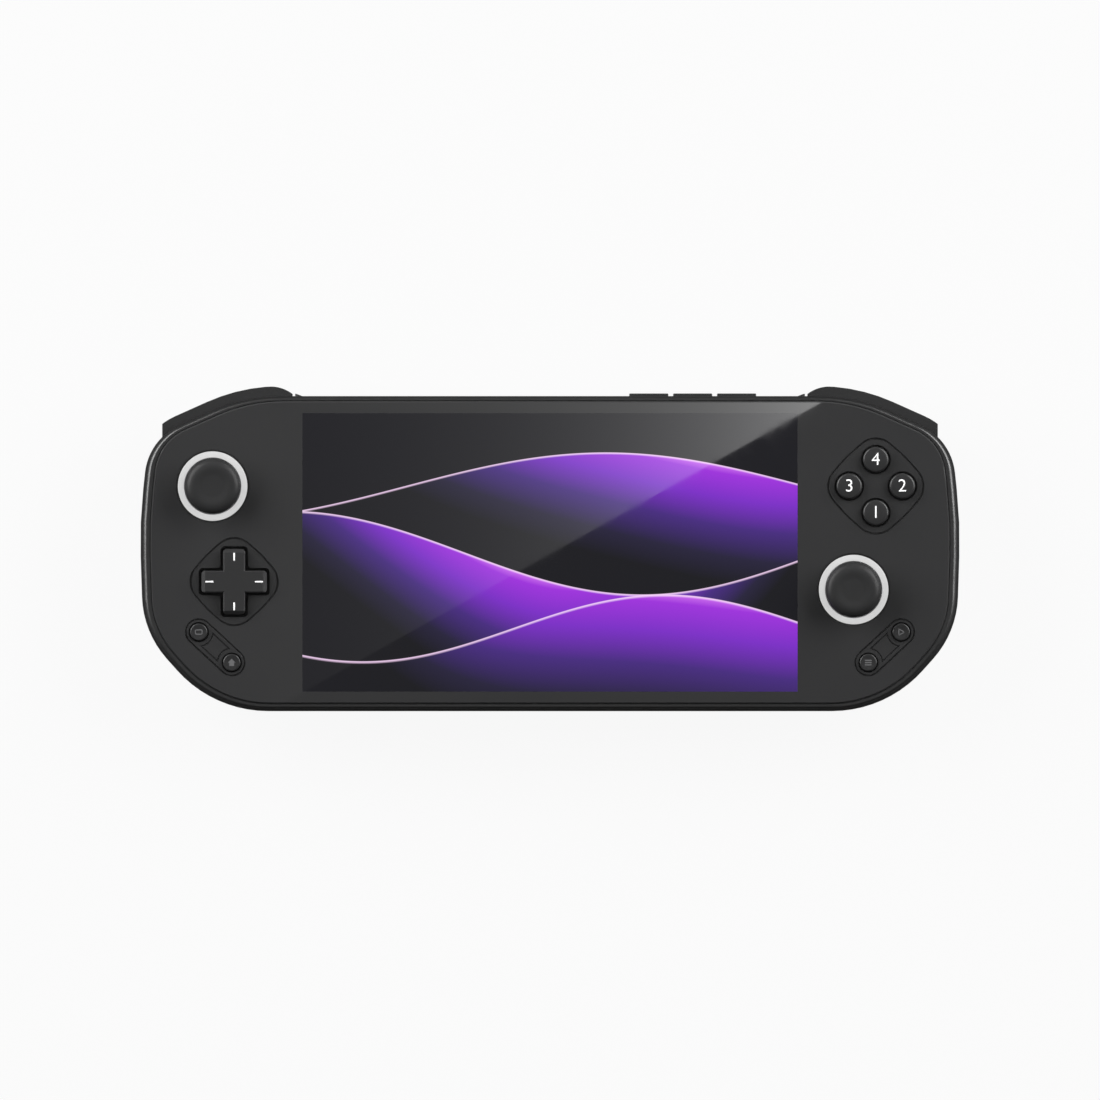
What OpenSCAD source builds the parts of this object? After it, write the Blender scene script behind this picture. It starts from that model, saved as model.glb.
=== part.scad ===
// Handheld game console lying on its back, with the screen up.
// X runs along the body, Y towards the top edge with the shoulder buttons, Z out of the screen.
// The origin lies under the middle of the console, on the surface that it rests on. Sizes in mm.

/* [Body] */
// Width of the body over both ends
body_w = 201.4; // [181:0.2:222]
// Height of the body without the shoulder buttons
body_h = 77.5; // [70:0.1:85]
// Thickness from the flat back to the face
body_t = 15.5; // [15.3:0.1:18]
// Depth of the palm grips behind the flat back
grip_drop = 4.5; // [4:0.1:6]
// Width of each palm grip
grip_w = 36; // [34:0.5:37]
// Depth of the front shell from the parting line to the face
front_depth = 8.8; // [8.7:0.1:9.2]
// Wall of the two shells
wall = 1.8; // [1.5:0.1:1.9]
// Floor of the rear shell
floor_t = 1.5; // [1.2:0.1:1.6]
// Rounding of the back, measured inwards
rear_in = 7; // [5:0.5:8]

/* [Outline] */
// Inward reach of the shoulder slope on the top edge
slope_run = 25.5; // [24.5:0.1:26]
// Height of the outer end of the shoulder slope over the middle
slope_up = 28.2; // [27.9:0.05:28.6]
// Inward lean of the side at the shoulder
slope_lean = 1.95; // [1.6:0.05:2.3]
// Radius between the top edge and the shoulder slope
slope_top_r = 41.6; // [36:0.2:42]
// Radius between the shoulder slope and the side
slope_side_r = 14.5; // [10:0.5:15]
// Height of the widest point of the sides above the middle
crown_y = 7.6; // [4:0.2:9]
// Inward reach of the lower slope on the bottom edge
lower_run = 17.9; // [17:0.1:19]
// Depth of the outer end of the lower slope under the middle
lower_down = 19.35; // [18.8:0.05:20.2]
// Radius between the bottom edge and the lower slope
lower_r = 30; // [20:1:30]
// Radius between the lower slope and the side
lower_side_r = 24; // [16:1:25]

/* [Face] */
// Thickness of the cover glass
glass_t = 1.1; // [0.9:0.05:1.2]
// Deck of the front shell under the glass
deck_t = 1.5; // [1.4:0.05:1.6]
// Inset of the glass at the top edge
glass_top = 1.25; // [1.1:0.05:1.5]
// Inset of the glass at the bottom edge
glass_bottom = 1.85; // [1.65:0.05:2.1]
// Inset of the glass at the sides
glass_side = 2.4; // [2:0.05:2.8]
// Inset of the glass along the shoulder slopes
glass_slope = 1.6; // [1.4:0.05:2]
// Inset of the glass along the lower slopes
glass_lower = 2.2; // [1.9:0.05:2.5]
// Gap between the glass and the rim that it lies in
glass_gap = 0.2; // [0.15:0.05:0.25]
// Gap round the plates and the light rings
trim_gap = 0.4; // [0.3:0.05:0.45]
// Height of the glass over the rim
rim_set = 0.25; // [0.2:0.05:0.4]
// Height of the rounding of the rim
rim_drop = 3; // [2.5:0.1:3.1]
// Width of the field beside the lit picture, which holds the controls
side_w = 39.8; // [39.2:0.1:42]
// Field above the lit picture
bezel_top = 4.2; // [3.9:0.1:5]
// Field below the lit picture
bezel_low = 4.8; // [4.5:0.1:5.6]
// Thickness of the display
display_t = 1.4; // [1.2:0.05:1.5]

/* [Sticks] */
// Distance of the left stick from the left side
left_stick_in = 17.7; // [17.4:0.1:18.5]
// Height of the left stick over the middle
left_stick_up = 16.6; // [15.8:0.1:16.9]
// Distance of the right stick from the right side
right_stick_in = 26; // [25:0.1:26.2]
// Height of the right stick over the middle
right_stick_up = -8.85; // [-9.2:0.05:-8]
// Radius of the stick cap
cap_r = 6.9; // [6:0.1:7]
// Height of the underside of the cap over the face
cap_lift = 4.2; // [4:0.1:6]
// Height of the rounded rim of the cap
cap_t = 2.2; // [1.8:0.1:3]
// Inner radius of the light ring
ring_in = 7.2; // [7:0.05:7.5]
// Outer radius of the light ring
ring_out = 8.6; // [8.2:0.05:8.8]
// Depth of the stick pivot under the face
pivot_deep = 8; // [7.9:0.05:8.1]
// Radius of the stick shaft
shaft_r = 1.5; // [1.3:0.05:1.6]
// Width of the stick housing
housing_w = 15.4; // [15.2:0.1:15.6]

/* [Cross pad] */
// Distance of the cross pad from the left side
pad_in = 23; // [22.6:0.1:23.2]
// Height of the cross pad over the middle
pad_up = -6.9; // [-7.1:0.05:-6.4]
// Span of the cross
pad_span = 16.1; // [15.5:0.1:16.6]
// Width of the arms of the cross
pad_arm = 5.4; // [5:0.1:5.8]
// Height of the cross over the face
pad_proud = 1.7; // [1.2:0.1:2.4]
// Gap round the cross
pad_gap = 0.65; // [0.6:0.05:0.8]
// Reach of the corners of the rhombus round the cross pad
pad_rhomb = 12.3; // [12:0.1:12.6]

/* [Face buttons] */
// Distance of the middle of the face buttons from the right side
face_in = 20.55; // [20.2:0.05:20.9]
// Height of the middle of the face buttons over the middle
face_up = 16.6; // [16.2:0.1:17]
// Distance of each face button from their middle
face_pitch = 6.52; // [6.3:0.02:6.8]
// Radius of the face buttons
face_r = 3.25; // [3:0.05:3.4]
// Height of the face buttons over the face
face_proud = 1.6; // [1.2:0.1:2.2]
// Gap round the face buttons
face_gap = 0.3; // [0.25:0.05:0.35]
// Reach of the corners of the rhombus round the face buttons
face_rhomb = 13.3; // [13:0.1:13.5]

/* [Function buttons] */
// Distance of the outer function buttons from the sides
func_outer_in = 14.3; // [14.1:0.1:14.6]
// Height of the outer function buttons over the middle
func_outer_up = -19.3; // [-19.6:0.1:-19]
// Distance of the inner function buttons from the sides
func_inner_in = 22.4; // [22.2:0.1:22.8]
// Height of the inner function buttons over the middle
func_inner_up = -26.8; // [-27:0.1:-26.4]
// Radius of the function buttons
func_r = 2.15; // [1.9:0.05:2.3]
// Height of the function buttons over the face
func_proud = 0.5; // [0.3:0.1:1]
// Radius of the ends of the pill plates
pill_r = 3; // [2.9:0.05:3.1]

/* [Shoulders] */
// How far the bumpers stand out of the slope
bumper_rise = 2.45; // [2:0.05:2.8]
// Depth of the bumpers inside the outline
bumper_deep = 2.6; // [2.4:0.05:2.8]
// Distance of the inner end of the bumpers from the sides
bumper_start_in = 37.4; // [37.2:0.05:37.5]
// Distance of the outer end of the bumpers from the sides
bumper_end_in = 5.3; // [5:0.1:6]
// Radius of the bumper post
post_r = 1.3; // [1.1:0.05:1.4]
// How far the triggers stand out of the slope
trigger_rise = 1.0; // [0.6:0.1:1.3]
// Radius of the trigger pins
pin_r = 0.8; // [0.7:0.05:0.9]

/* [Top edge] */
// Length of the top edge buttons
key_l = 9.65; // [9:0.05:9.8]
// Distance between neighbouring top edge buttons
key_pitch = 10.8; // [10.7:0.05:11.2]
// Distance of the middle top edge button from the right side
key_in = 65.6; // [64.6:0.1:66.6]
// Height of the top edge buttons over the edge
key_proud = 0.65; // [0.4:0.05:1]

/* [Inside] */
// Thickness of the boards
board_t = 1; // [0.8:0.1:1.1]
// Room between the deck and the control boards
button_room = 4.6; // [4.5:0.05:4.7]
// Thickness of the battery
battery_t = 5; // [4:0.1:5.2]
// Radius of the case screw heads
screw_head_r = 1.8; // [1.6:0.1:1.9]
// Radius of the headphone bore
jack_r = 1.8; // [1.76:0.01:1.9]
// Length of the headphone bore
jack_l = 12; // [11:0.5:13]

/* [Hidden] */
$fn = 48;

// Colours of the materials
shell_c = [0.16, 0.16, 0.17];
panel_c = [0.2, 0.2, 0.21];
cap_c = [0.18, 0.18, 0.19];
ring_c = [0.84, 0.84, 0.84];
board_c = [0.07, 0.26, 0.15];
metal_c = [0.68, 0.69, 0.71];
rubber_c = [0.45, 0.45, 0.47];
black_c = [0.05, 0.05, 0.06];
picture_c = [0.25, 0.12, 0.45];

// Degrees of arc between two points of an outline
arc_step = 5;
// Running clearance of the small pivots
fit = 0.05;
// Seating gap of loose pieces
seat = 0.1;
// Gap between the bumpers or triggers and the shells
slot_gap = 0.4;

// Levels
half_w = body_w / 2;
half_h = body_h / 2;
picture_w = body_w - 2 * side_w;
picture_h = body_h - bezel_top - bezel_low;
picture_up = (bezel_low - bezel_top) / 2;
z_back = grip_drop;
z_face = z_back + body_t;
z_part = z_face - front_depth;
z_rim = z_face - rim_set;
z_seat = z_face - glass_t;
z_deck = z_seat - deck_t;
z_floor = z_back + floor_t;
z_board = z_deck - button_room;
frame_t = 0.8;
z_frame = z_deck - frame_t;
usb_h = 3.2;
z_port = z_board + usb_h / 2;
jack_drop = 0.4;
z_jack = z_port - jack_drop;
surround_set = 0.1;
z_surround = z_face - surround_set;

// Places of the controls
left_stick = [left_stick_in - half_w, left_stick_up];
right_stick = [half_w - right_stick_in, right_stick_up];
pad = [pad_in - half_w, pad_up];
face = [half_w - face_in, face_up];
func_outer = [half_w - func_outer_in, func_outer_up];
func_inner = [half_w - func_inner_in, func_inner_up];

// Corners of the body outline, against the clock: x, y, radius
lower_lean = 0.6;
crown_out = 0.26;
side_r = 120;
right_corners = [
  [half_w - lower_run, -half_h, lower_r],
  [half_w - lower_lean, -lower_down, lower_side_r],
  [half_w + crown_out, crown_y, side_r],
  [half_w - slope_lean, slope_up, slope_side_r],
  [half_w - slope_run, half_h, slope_top_r]];
corners = concat(right_corners, [for (i = [len(right_corners) - 1 : -1 : 0])
  [-right_corners[i].x, right_corners[i].y, right_corners[i].z]]);

// Insets of the glass side by side, in the order of the corners
glass_insets = [glass_lower, glass_side, glass_side, glass_slope, glass_top,
  glass_slope, glass_side, glass_side, glass_lower, glass_bottom];

function unit(v) = v / norm(v);
function xy(c) = [c.x, c.y];

// Points of one rounded corner q between its neighbours p and s
function corner_arc(p, q, s, r, step) =
  let (a = unit(p - q), b = unit(s - q), turn = 180 - acos(a * b), mid = q + unit(a + b) * r / cos(turn / 2))
  let (from = q + a * r * tan(turn / 2) - mid, start = atan2(from.y, from.x), n = max(1, ceil(turn / step)))
  [for (k = [0 : n]) mid + r * [cos(start + turn * k / n), sin(start + turn * k / n)]];

// Points of a whole outline of rounded corners
function rounded(c, step = arc_step) = let (n = len(c))
  [for (i = [0 : n - 1]) each corner_arc(xy(c[(i + n - 1) % n]), xy(c[i]), xy(c[(i + 1) % n]), c[i].z, step)];

// Corner moved inwards by d from the side with direction u and by e from the side with direction v
function corner_inset(c, u, v, d, e) = let (det = u.x * v.y - u.y * v.x)
  [c.x + (d * v.x - e * u.x) / det, c.y + (d * v.y - e * u.y) / det, max(0.4, c.z - (d + e) / 2)];

// Corners moved inwards, each side by its own distance
function inset(c, d) = let (n = len(c))
  [for (i = [0 : n - 1]) let (h = (i + n - 1) % n, j = (i + 1) % n)
    corner_inset(c[i], unit(xy(c[i]) - xy(c[h])), unit(xy(c[j]) - xy(c[i])), d[h], d[i])];
function even_inset(c, d) = inset(c, [for (i = c) d]);
function body_line(d) = rounded(even_inset(corners, d));
function glass_line(d) = rounded(inset(corners, [for (g = glass_insets) g + d]));

// Shoulder slope, as a frame with its own x along the slope and y out of it
slope_top = xy(right_corners[4]);
slope_end = xy(right_corners[3]);
slope_mid = (slope_top + slope_end) / 2;
slope_a = atan2(slope_end.y - slope_top.y, slope_end.x - slope_top.x);

// Rounded nose at the inner end of the bumpers
nose_r = 9;
nose_a = 4;
slope_arc_x = slope_top.x - slope_top_r * tan(-slope_a / 2);
nose_reach = slope_top_r + bumper_rise - nose_r;
nose = [slope_arc_x + nose_reach * sin(nose_a), half_h - slope_top_r + nose_reach * cos(nose_a)];
y_mid = (nose.y + nose_r - half_h) / 2;
bumper_x0 = half_w - bumper_start_in;
bumper_x1 = half_w - bumper_end_in;
bumper_post = [bumper_x0 + 2.9, half_h - 3.35];
bumper_gap = 0.2;
z_bumper = z_part + bumper_gap;
bumper_top = z_deck - bumper_gap;

// Fixing points
room_x = picture_w / 2;
case_points = [[room_x + 9.3, half_h - 7.75], [half_w - 7.5, -3.5], [room_x + 6.5, 7.75 - half_h]];
boss_points = [[room_x + 6.3, half_h - 15.75], [room_x + 6.3, 14.25 - half_h], [half_w - 9.4, 3.2]];
tab_points = [[room_x + 4.9, half_h - 11.25], [room_x + 4.9, 2]];
board_w = picture_w - 9.8;
main_h = 27.35;
main_y1 = half_h - 3.4;
main_y0 = main_y1 - main_h;
frame_posts = [[board_w / 2 - 4, main_y0 + 4], [board_w / 2 - 4, main_y1 - 3.35]];
ear_reach = 8.8;
ear_points = [[ear_reach, ear_reach], [-ear_reach, -ear_reach]];
ear_r = 2;
boss_r = 1.7;
case_boss_r = 2.4;
case_post_r = 2.7;
screw_r = 0.9;
small_r = 0.6;
small_head_r = 1.2;
z_head = z_part - 3;
case_screw_l = 7.2;

module put(c) color(c) translate([0, -y_mid, 0]) children();
module prism(points, z0, z1) translate([0, 0, z0]) linear_extrude(z1 - z0) polygon(points);
// Solid skin over rings of equal point count, listed from the lowest up: each is [z, points]
module loft(rings) {
  n = len(rings[0][1]);
  m = len(rings);
  polyhedron(
    points = [for (r = rings) each [for (p = r[1]) [p.x, p.y, r[0]]]],
    faces = concat(
      [[for (i = [0 : n - 1]) i]],
      [[for (i = [n - 1 : -1 : 0]) (m - 1) * n + i]],
      [for (k = [0 : m - 2], i = [0 : n - 1])
        [k * n + i, (k + 1) * n + i, (k + 1) * n + (i + 1) % n, k * n + (i + 1) % n]]));
}
// Closed band over loops of equal point count, which go round its cross section: each is [z, points]
module band(loops) {
  n = len(loops[0][1]);
  m = len(loops);
  polyhedron(
    points = [for (r = loops) each [for (p = r[1]) [p.x, p.y, r[0]]]],
    faces = [for (k = [0 : m - 1], i = [0 : n - 1]) let (up = (k + 1) % m, on = (i + 1) % n)
      [k * n + i, up * n + i, up * n + on, k * n + on]]);
}
module rod(p, r, z0, z1) translate([p.x, p.y, z0]) cylinder(r = r, h = z1 - z0);
module both() {
  children();
  mirror([1, 0, 0]) children();
}
module at(points) for (p = points) translate([p.x, p.y, 0]) children();
module block(size, at_z) translate([-size.x / 2, -size.y / 2, at_z]) cube(size);
module on_slope() translate([slope_mid.x, slope_mid.y, 0]) rotate([0, 0, slope_a]) children();
// Bar along x or y with its middle on the axis
module x_rod(r, x0, x1) translate([x0, 0, 0]) rotate([0, 90, 0]) cylinder(r = r, h = x1 - x0);
module y_rod(r, y0, y1) translate([0, y0, 0]) rotate([-90, 0, 0]) cylinder(r = r, h = y1 - y0);

// Stretched round hole in a wall that faces y
module wall_slot(w, h, y0, y1) {
  translate([-(w - h) / 2, y0, -h / 2]) cube([w - h, y1 - y0, h]);
  for (s = [-1, 1]) translate([s * (w - h) / 2, y0, 0]) rotate([-90, 0, 0]) cylinder(r = h / 2, h = y1 - y0);
}

// Rhombus with well rounded corners and bowed sides
rhomb_bow = 1.08;
rhomb_corner_r = 5.5;
rhomb_side_r = 30;
function rhomb(reach) = rounded([for (i = [0 : 7]) i % 2 == 0
  ? [reach * cos(i * 45), reach * sin(i * 45), rhomb_corner_r]
  : [reach * rhomb_bow * cos(45) * cos(i * 45), reach * rhomb_bow * cos(45) * sin(i * 45), rhomb_side_r]]);

module cross_shape(span, arm) {
  square([span, arm], center = true);
  square([arm, span], center = true);
}

func_turn = atan2(func_outer.y - func_inner.y, func_outer.x - func_inner.x);
func_length = norm(func_outer - func_inner);
// Outline of two half rounds joined by straight sides
pill_steps = 20;
function pill_line(r) = [for (end = [[func_outer, -90], [func_inner, 90]], k = [0 : pill_steps])
  let (a = func_turn + end[1] + 180 * k / pill_steps) end[0] + r * [cos(a), sin(a)]];
face_spots = [[0, face_pitch], [-face_pitch, 0], [face_pitch, 0], [0, -face_pitch]];

// Front shell
rim_share = 0.65;
module front_skin() loft(concat([[z_part, body_line(0)]], [for (a = [0 : 18 : 90])
  [z_rim - rim_drop * (1 - sin(a)), rounded(inset(corners, rim_share * (1 - cos(a)) * glass_insets))]]));
display_edge = 2.3;
display_w = picture_w + 2 * display_edge;
display_h = picture_h + display_edge;
window_gap = 0.3;
well_r = ring_in + 0.1;
key_h = 2.4;
key_gap = 0.15;
key_places = [for (i = [-1 : 1]) half_w - key_in + i * key_pitch];
usb_w = 9;
card_w = 11.6;
speaker_w = 18;
speaker_h = 9;
speaker_x = room_x - 10.9;
card_x = speaker_x - speaker_w / 2 - 15;
jack_x = -card_x;
port_gap = 0.2;
jack_nose_r = 2.4;
jack_w = 6.4;
jack_h = 5.2;
socket_set = 0.3;
jack_end = wall + jack_l + 2 * socket_set;
card_socket_size = [card_w + 2, 11.6, 2.1];
card_slot_z = 0.6;
card_slot_h = 1;
card_slot_l = 11.8;
usb_set = 0.6;
usb_l = 7.6;
usb_wall = 0.3;
tongue_size = [6.7, 5.4, 0.7];
socket_edge = 3.4;
socket_board_w = 2 * (speaker_x - speaker_w / 2 - 1);
socket_board_h = 14;
socket_posts = [[socket_board_w / 2 - 4, socket_edge + 3.85 - half_h]];

deck_gap = pad_gap + 0.15;
module deck_openings() {
  at([left_stick, right_stick]) rod([0, 0], well_r, z_deck - 1, z_face);
  translate([pad.x, pad.y, z_deck - 1])
    linear_extrude(glass_t + deck_t + 1) cross_shape(pad_span + 2 * deck_gap, pad_arm + 2 * deck_gap);
  translate([face.x, face.y, 0]) at(face_spots) rod([0, 0], face_r + face_gap, z_deck - 1, z_face);
  both() at([func_outer, func_inner]) rod([0, 0], func_r + face_gap, z_deck - 1, z_face);
}

grille_pitch = 2.6;
grille_l = 3.4;
grille_w = 1.2;
module wall_openings() {
  for (x = key_places) translate([x - key_l / 2 - key_gap, half_h - wall - 1, z_port - key_h / 2 - key_gap])
    cube([key_l + 2 * key_gap, wall + 3, key_h + 2 * key_gap]);
  translate([0, 0, z_port])
    wall_slot(usb_w + 2 * port_gap, usb_h + 2 * port_gap, -half_h - 1, 1 + wall - half_h);
  translate([jack_x, 0, z_jack]) y_rod(jack_nose_r + port_gap, -half_h - 1, 1 + wall - half_h);
  translate([card_x, 0, z_board + card_slot_z + card_slot_h / 2])
    wall_slot(card_w + 4 * port_gap, card_slot_h + 2.5 * port_gap, -half_h - 1, 1 + wall - half_h);
  both() for (i = [-2 : 2]) translate([speaker_x + grille_pitch * i, 0, z_port]) rotate([0, 90, 0])
    wall_slot(grille_l, grille_w, -half_h - 1, 1 + wall - half_h);
}

module bumper_notch() both() difference() {
  translate([bumper_x0 - slot_gap, 0, z_part - 1])
    cube([bumper_x1 - bumper_x0 + 2 * slot_gap, half_h + 5, z_deck - z_part + 1]);
  prism(body_line(wall + 0.2), z_part - 2, z_deck + 1);
}

// Small ramp beside the inner end of each bumper
ramp = [[-2.5, -0.2], [-0.6, -0.2], [-0.6, 0.6], [-1.1, 0.5], [-2.5, -0.05]];
module front_shell() put(shell_c) difference() {
  union() {
    difference() {
      front_skin();
      prism(body_line(wall), z_part - 1, z_deck);
      prism(glass_line(-glass_gap), z_seat, z_face + 1);
      translate([0, picture_up, 0])
        block([display_w + 2 * window_gap, display_h + 2 * window_gap, 6], z_deck - 1);
      bumper_notch();
      wall_openings();
    }
    both() {
      at(case_points) rod([0, 0], case_boss_r, z_part + 0.1, z_deck + 0.1);
      at(boss_points) rod([0, 0], boss_r, z_board, z_deck + 0.1);
      rod(bumper_post, post_r, z_bumper, z_deck + 0.1);
      translate([bumper_x0, half_h, z_part]) linear_extrude(z_deck - z_part) polygon(ramp);
    }
    at([left_stick, right_stick]) at(ear_points) rod([0, 0], boss_r, stick_ear_top, z_deck + 0.1);
  }
  deck_openings();
  both() {
    at(case_points) rod([0, 0], screw_r, z_part - 1, z_head + case_screw_l);
    at(boss_points) rod([0, 0], small_r, z_board - 1, z_board + 3);
    at(tab_points) rod([0, 0], small_r, z_deck - 1, z_deck + 1.1);
  }
  at([left_stick, right_stick]) at(ear_points) rod([0, 0], small_r, stick_ear_top - 1, z_deck + 0.8);
}

// Cover glass over the whole face, with the edge broken
edge_break = 0.3;
edge_over = 0.4;
module cover_glass() put(panel_c) difference() {
  prism(glass_line(0), z_seat, z_face);
  band([[z_face - edge_break - edge_over, glass_line(-edge_over)],
    [z_face + edge_over, glass_line(-edge_over)],
    [z_face + edge_over, glass_line(edge_break + edge_over)]]);
  at([left_stick, right_stick]) rod([0, 0], ring_out + trim_gap, z_seat - 1, z_face + 1);
  translate([pad.x, pad.y, 0]) prism(rhomb(pad_rhomb + trim_gap), z_seat - 1, z_face + 1);
  translate([face.x, face.y, 0]) prism(rhomb(face_rhomb + trim_gap), z_seat - 1, z_face + 1);
  both() prism(pill_line(pill_r + trim_gap), z_seat - 1, z_face + 1);
}

module pad_surround() put(panel_c) translate([pad.x, pad.y, 0]) difference() {
  prism(rhomb(pad_rhomb), z_seat, z_surround);
  translate([0, 0, z_seat - 1]) linear_extrude(glass_t + 2)
    cross_shape(pad_span + 2 * pad_gap, pad_arm + 2 * pad_gap);
}

module face_surround() put(panel_c) translate([face.x, face.y, 0]) difference() {
  prism(rhomb(face_rhomb), z_seat, z_surround);
  at(face_spots) rod([0, 0], face_r + face_gap, z_seat - 1, z_face + 1);
}

// Plate round one pair of function buttons, with a waisted field between the two inside a groove
field_w = 4.5;
field_in = 0.35;
field_deep = 0.4;
groove_w = 0.3;
module waisted_field(less) difference() {
  translate(func_inner) rotate(func_turn) translate([0, less - field_w / 2])
    square([func_length, field_w - 2 * less]);
  for (p = [func_outer, func_inner]) translate(p) circle(pill_r + field_in + less);
}
module pill_plate() difference() {
  prism(pill_line(pill_r), z_seat, z_surround);
  at([func_outer, func_inner]) rod([0, 0], func_r + face_gap, z_seat - 1, z_face + 1);
  translate([0, 0, z_surround - field_deep]) linear_extrude(1) difference() {
    waisted_field(0);
    waisted_field(groove_w);
  }
}
module left_pill_plate() put(panel_c) mirror([1, 0, 0]) pill_plate();
module right_pill_plate() put(panel_c) pill_plate();

module light_ring() difference() {
  rod([0, 0], ring_out, z_seat, z_face);
  rod([0, 0], ring_in, z_seat - 1, z_face + 1);
}
module left_light_ring() put(ring_c) at([left_stick]) light_ring();
module right_light_ring() put(ring_c) at([right_stick]) light_ring();

// Display and the metal frame that carries it and the boards
module display() put(picture_c) translate([0, picture_up, 0])
  block([display_w, display_h, display_t], z_seat - display_t);

frame_w = picture_w + 2.2;
frame_h = 2 * (half_h - wall - 0.35);
module display_frame() put(metal_c) difference() {
  union() {
    block([frame_w, frame_h, frame_t], z_frame);
    both() {
      at(tab_points) rod([0, 0], 2, z_frame, z_deck);
      for (p = tab_points) translate([p.x - 5, p.y - 2, z_frame]) cube([5, 4, frame_t]);
      at(frame_posts) rod([0, 0], 1.8, z_board, z_frame + 0.1);
      at(socket_posts) rod([0, 0], 1.8, z_board, z_frame + 0.1);
    }
  }
  both() {
    at(tab_points) rod([0, 0], small_r, z_frame - 1, z_deck + 1);
    at(frame_posts) rod([0, 0], small_r, z_board - 1, z_board + 3);
    at(socket_posts) rod([0, 0], small_r, z_board - 1, z_board + 3);
  }
  translate([jack_x - jack_w / 2 - 0.5, -half_h, z_frame - 1]) cube([jack_w + 1, jack_end + 0.5, 3]);
}

// Main board with its chips and the switches of the top edge buttons
chip_h = 1.6;
chip_w = 13;
memory_size = [9, 11, chip_h];
storage_size = [22, 14, 1.8];
switch_size = [5, 3, z_port - z_board + 1];
module main_board() put(board_c) {
  difference() {
    translate([-board_w / 2, main_y0, z_board - board_t]) cube([board_w, main_h, board_t]);
    both() at(frame_posts) rod([0, 0], small_r, z_board - 2, z_board + 1);
    both() at(frame_posts) rod([0, 0], small_head_r + 0.2, z_board - board_t - 1, z_board - board_t);
  }
  for (x = [-1.1 * chip_w, 0.3 * chip_w])
    translate([x, main_y0 + 7, z_board - board_t - chip_h]) cube([chip_w, chip_w, chip_h]);
  translate([1.9 * chip_w, main_y0 + 9, z_board - board_t - chip_h]) cube(memory_size);
  translate([-1.7 * storage_size.x, main_y0 + 6, z_board]) cube(storage_size);
  for (x = key_places) translate([x - switch_size.x / 2, main_y1 - switch_size.y, z_board]) cube(switch_size);
}

spreader_w = 66;
spreader_t = 0.8;
spreader_edge = 3;
z_spreader = z_board - board_t - chip_h - spreader_t;
module heat_spreader() put(metal_c) translate([-spreader_w / 2, main_y0 + spreader_edge, z_spreader])
  cube([spreader_w, main_h - 2 * spreader_edge, spreader_t]);

// Board along the bottom edge that carries the sockets
module socket_board() put(board_c) difference() {
  translate([-socket_board_w / 2, socket_edge - half_h, z_board - board_t])
    cube([socket_board_w, socket_board_h, board_t]);
  translate([jack_x - jack_w / 2 - port_gap, -half_h, z_board - 3])
    cube([jack_w + 2 * port_gap, jack_end + port_gap, 5]);
  both() at(socket_posts) rod([0, 0], small_r, z_board - 2, z_board + 1);
}

module usb_socket() put(metal_c) translate([0, 0, z_port]) {
  difference() {
    wall_slot(usb_w, usb_h, usb_set - half_h, usb_set + usb_l - half_h);
    wall_slot(usb_w - 2 * usb_wall, usb_h - 2 * usb_wall, -half_h, usb_l - 0.8 - half_h);
  }
  translate([-tongue_size.x / 2, usb_set + 1 - half_h, -tongue_size.z / 2]) cube(tongue_size);
}

module headphone_socket() put(black_c) translate([jack_x, 0, z_jack]) difference() {
  union() {
    y_rod(jack_nose_r, socket_set - half_h, wall + 2 * socket_set - half_h);
    translate([-jack_w / 2, wall + socket_set - half_h, -jack_h / 2])
      cube([jack_w, jack_end - wall - socket_set, jack_h]);
  }
  y_rod(jack_r, -half_h, jack_l + socket_set - half_h);
}

module card_socket() put(metal_c) translate([card_x, 0, z_board]) difference() {
  translate([-card_socket_size.x / 2, wall + socket_set - half_h, 0]) cube(card_socket_size);
  translate([-card_w / 2, -half_h, card_slot_z]) cube([card_w, card_slot_l, card_slot_h]);
}

speaker_rim = 1.6;
speaker_mouth = 2.6;
module speaker() difference() {
  translate([speaker_x - speaker_w / 2, -half_h + wall + seat, z_board - 0.4])
    cube([speaker_w, speaker_h, z_frame - z_board + 0.4]);
  translate([speaker_x - speaker_w / 2 + speaker_rim, -half_h + wall - 1, z_port - speaker_mouth / 2])
    cube([speaker_w - 2 * speaker_rim, 2.4, speaker_mouth]);
}
module left_speaker() put(black_c) mirror([1, 0, 0]) speaker();
module right_speaker() put(black_c) speaker();

battery_w = 100;
battery_h = 31;
battery_y0 = -26.5;
module battery() put(black_c) translate([-battery_w / 2, battery_y0, z_floor])
  cube([battery_w, battery_h, battery_t]);

// Control boards behind the two groups of controls, with their switches
control_x = room_x + 3.5;
control_inset = 5.3;
switch_w = 3.6;
switch_h = 0.7;
module control_board() difference() {
  prism(body_line(control_inset), z_board - board_t, z_board);
  translate([-half_w, -half_h, z_board - 3]) cube([half_w + control_x, body_h, 6]);
  at(case_points) rod([0, 0], case_boss_r + 0.4, z_board - 3, z_board + 3);
  at(boss_points) rod([0, 0], small_r, z_board - 3, z_board + 3);
  rod(bumper_post, post_r + 2, z_board - 3, z_board + 3);
}
module stick_room(p) translate([p.x, p.y, 0]) block([housing_w + 0.6, housing_w + 0.6, 6], z_board - 3);
module func_switches() at([func_outer, func_inner]) block([switch_w, switch_w, switch_h], z_board);
module left_control_board() put(board_c) {
  difference() {
    mirror([1, 0, 0]) control_board();
    stick_room(left_stick);
  }
  mirror([1, 0, 0]) func_switches();
}
module right_control_board() put(board_c) {
  difference() {
    control_board();
    stick_room(right_stick);
  }
  func_switches();
}

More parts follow.
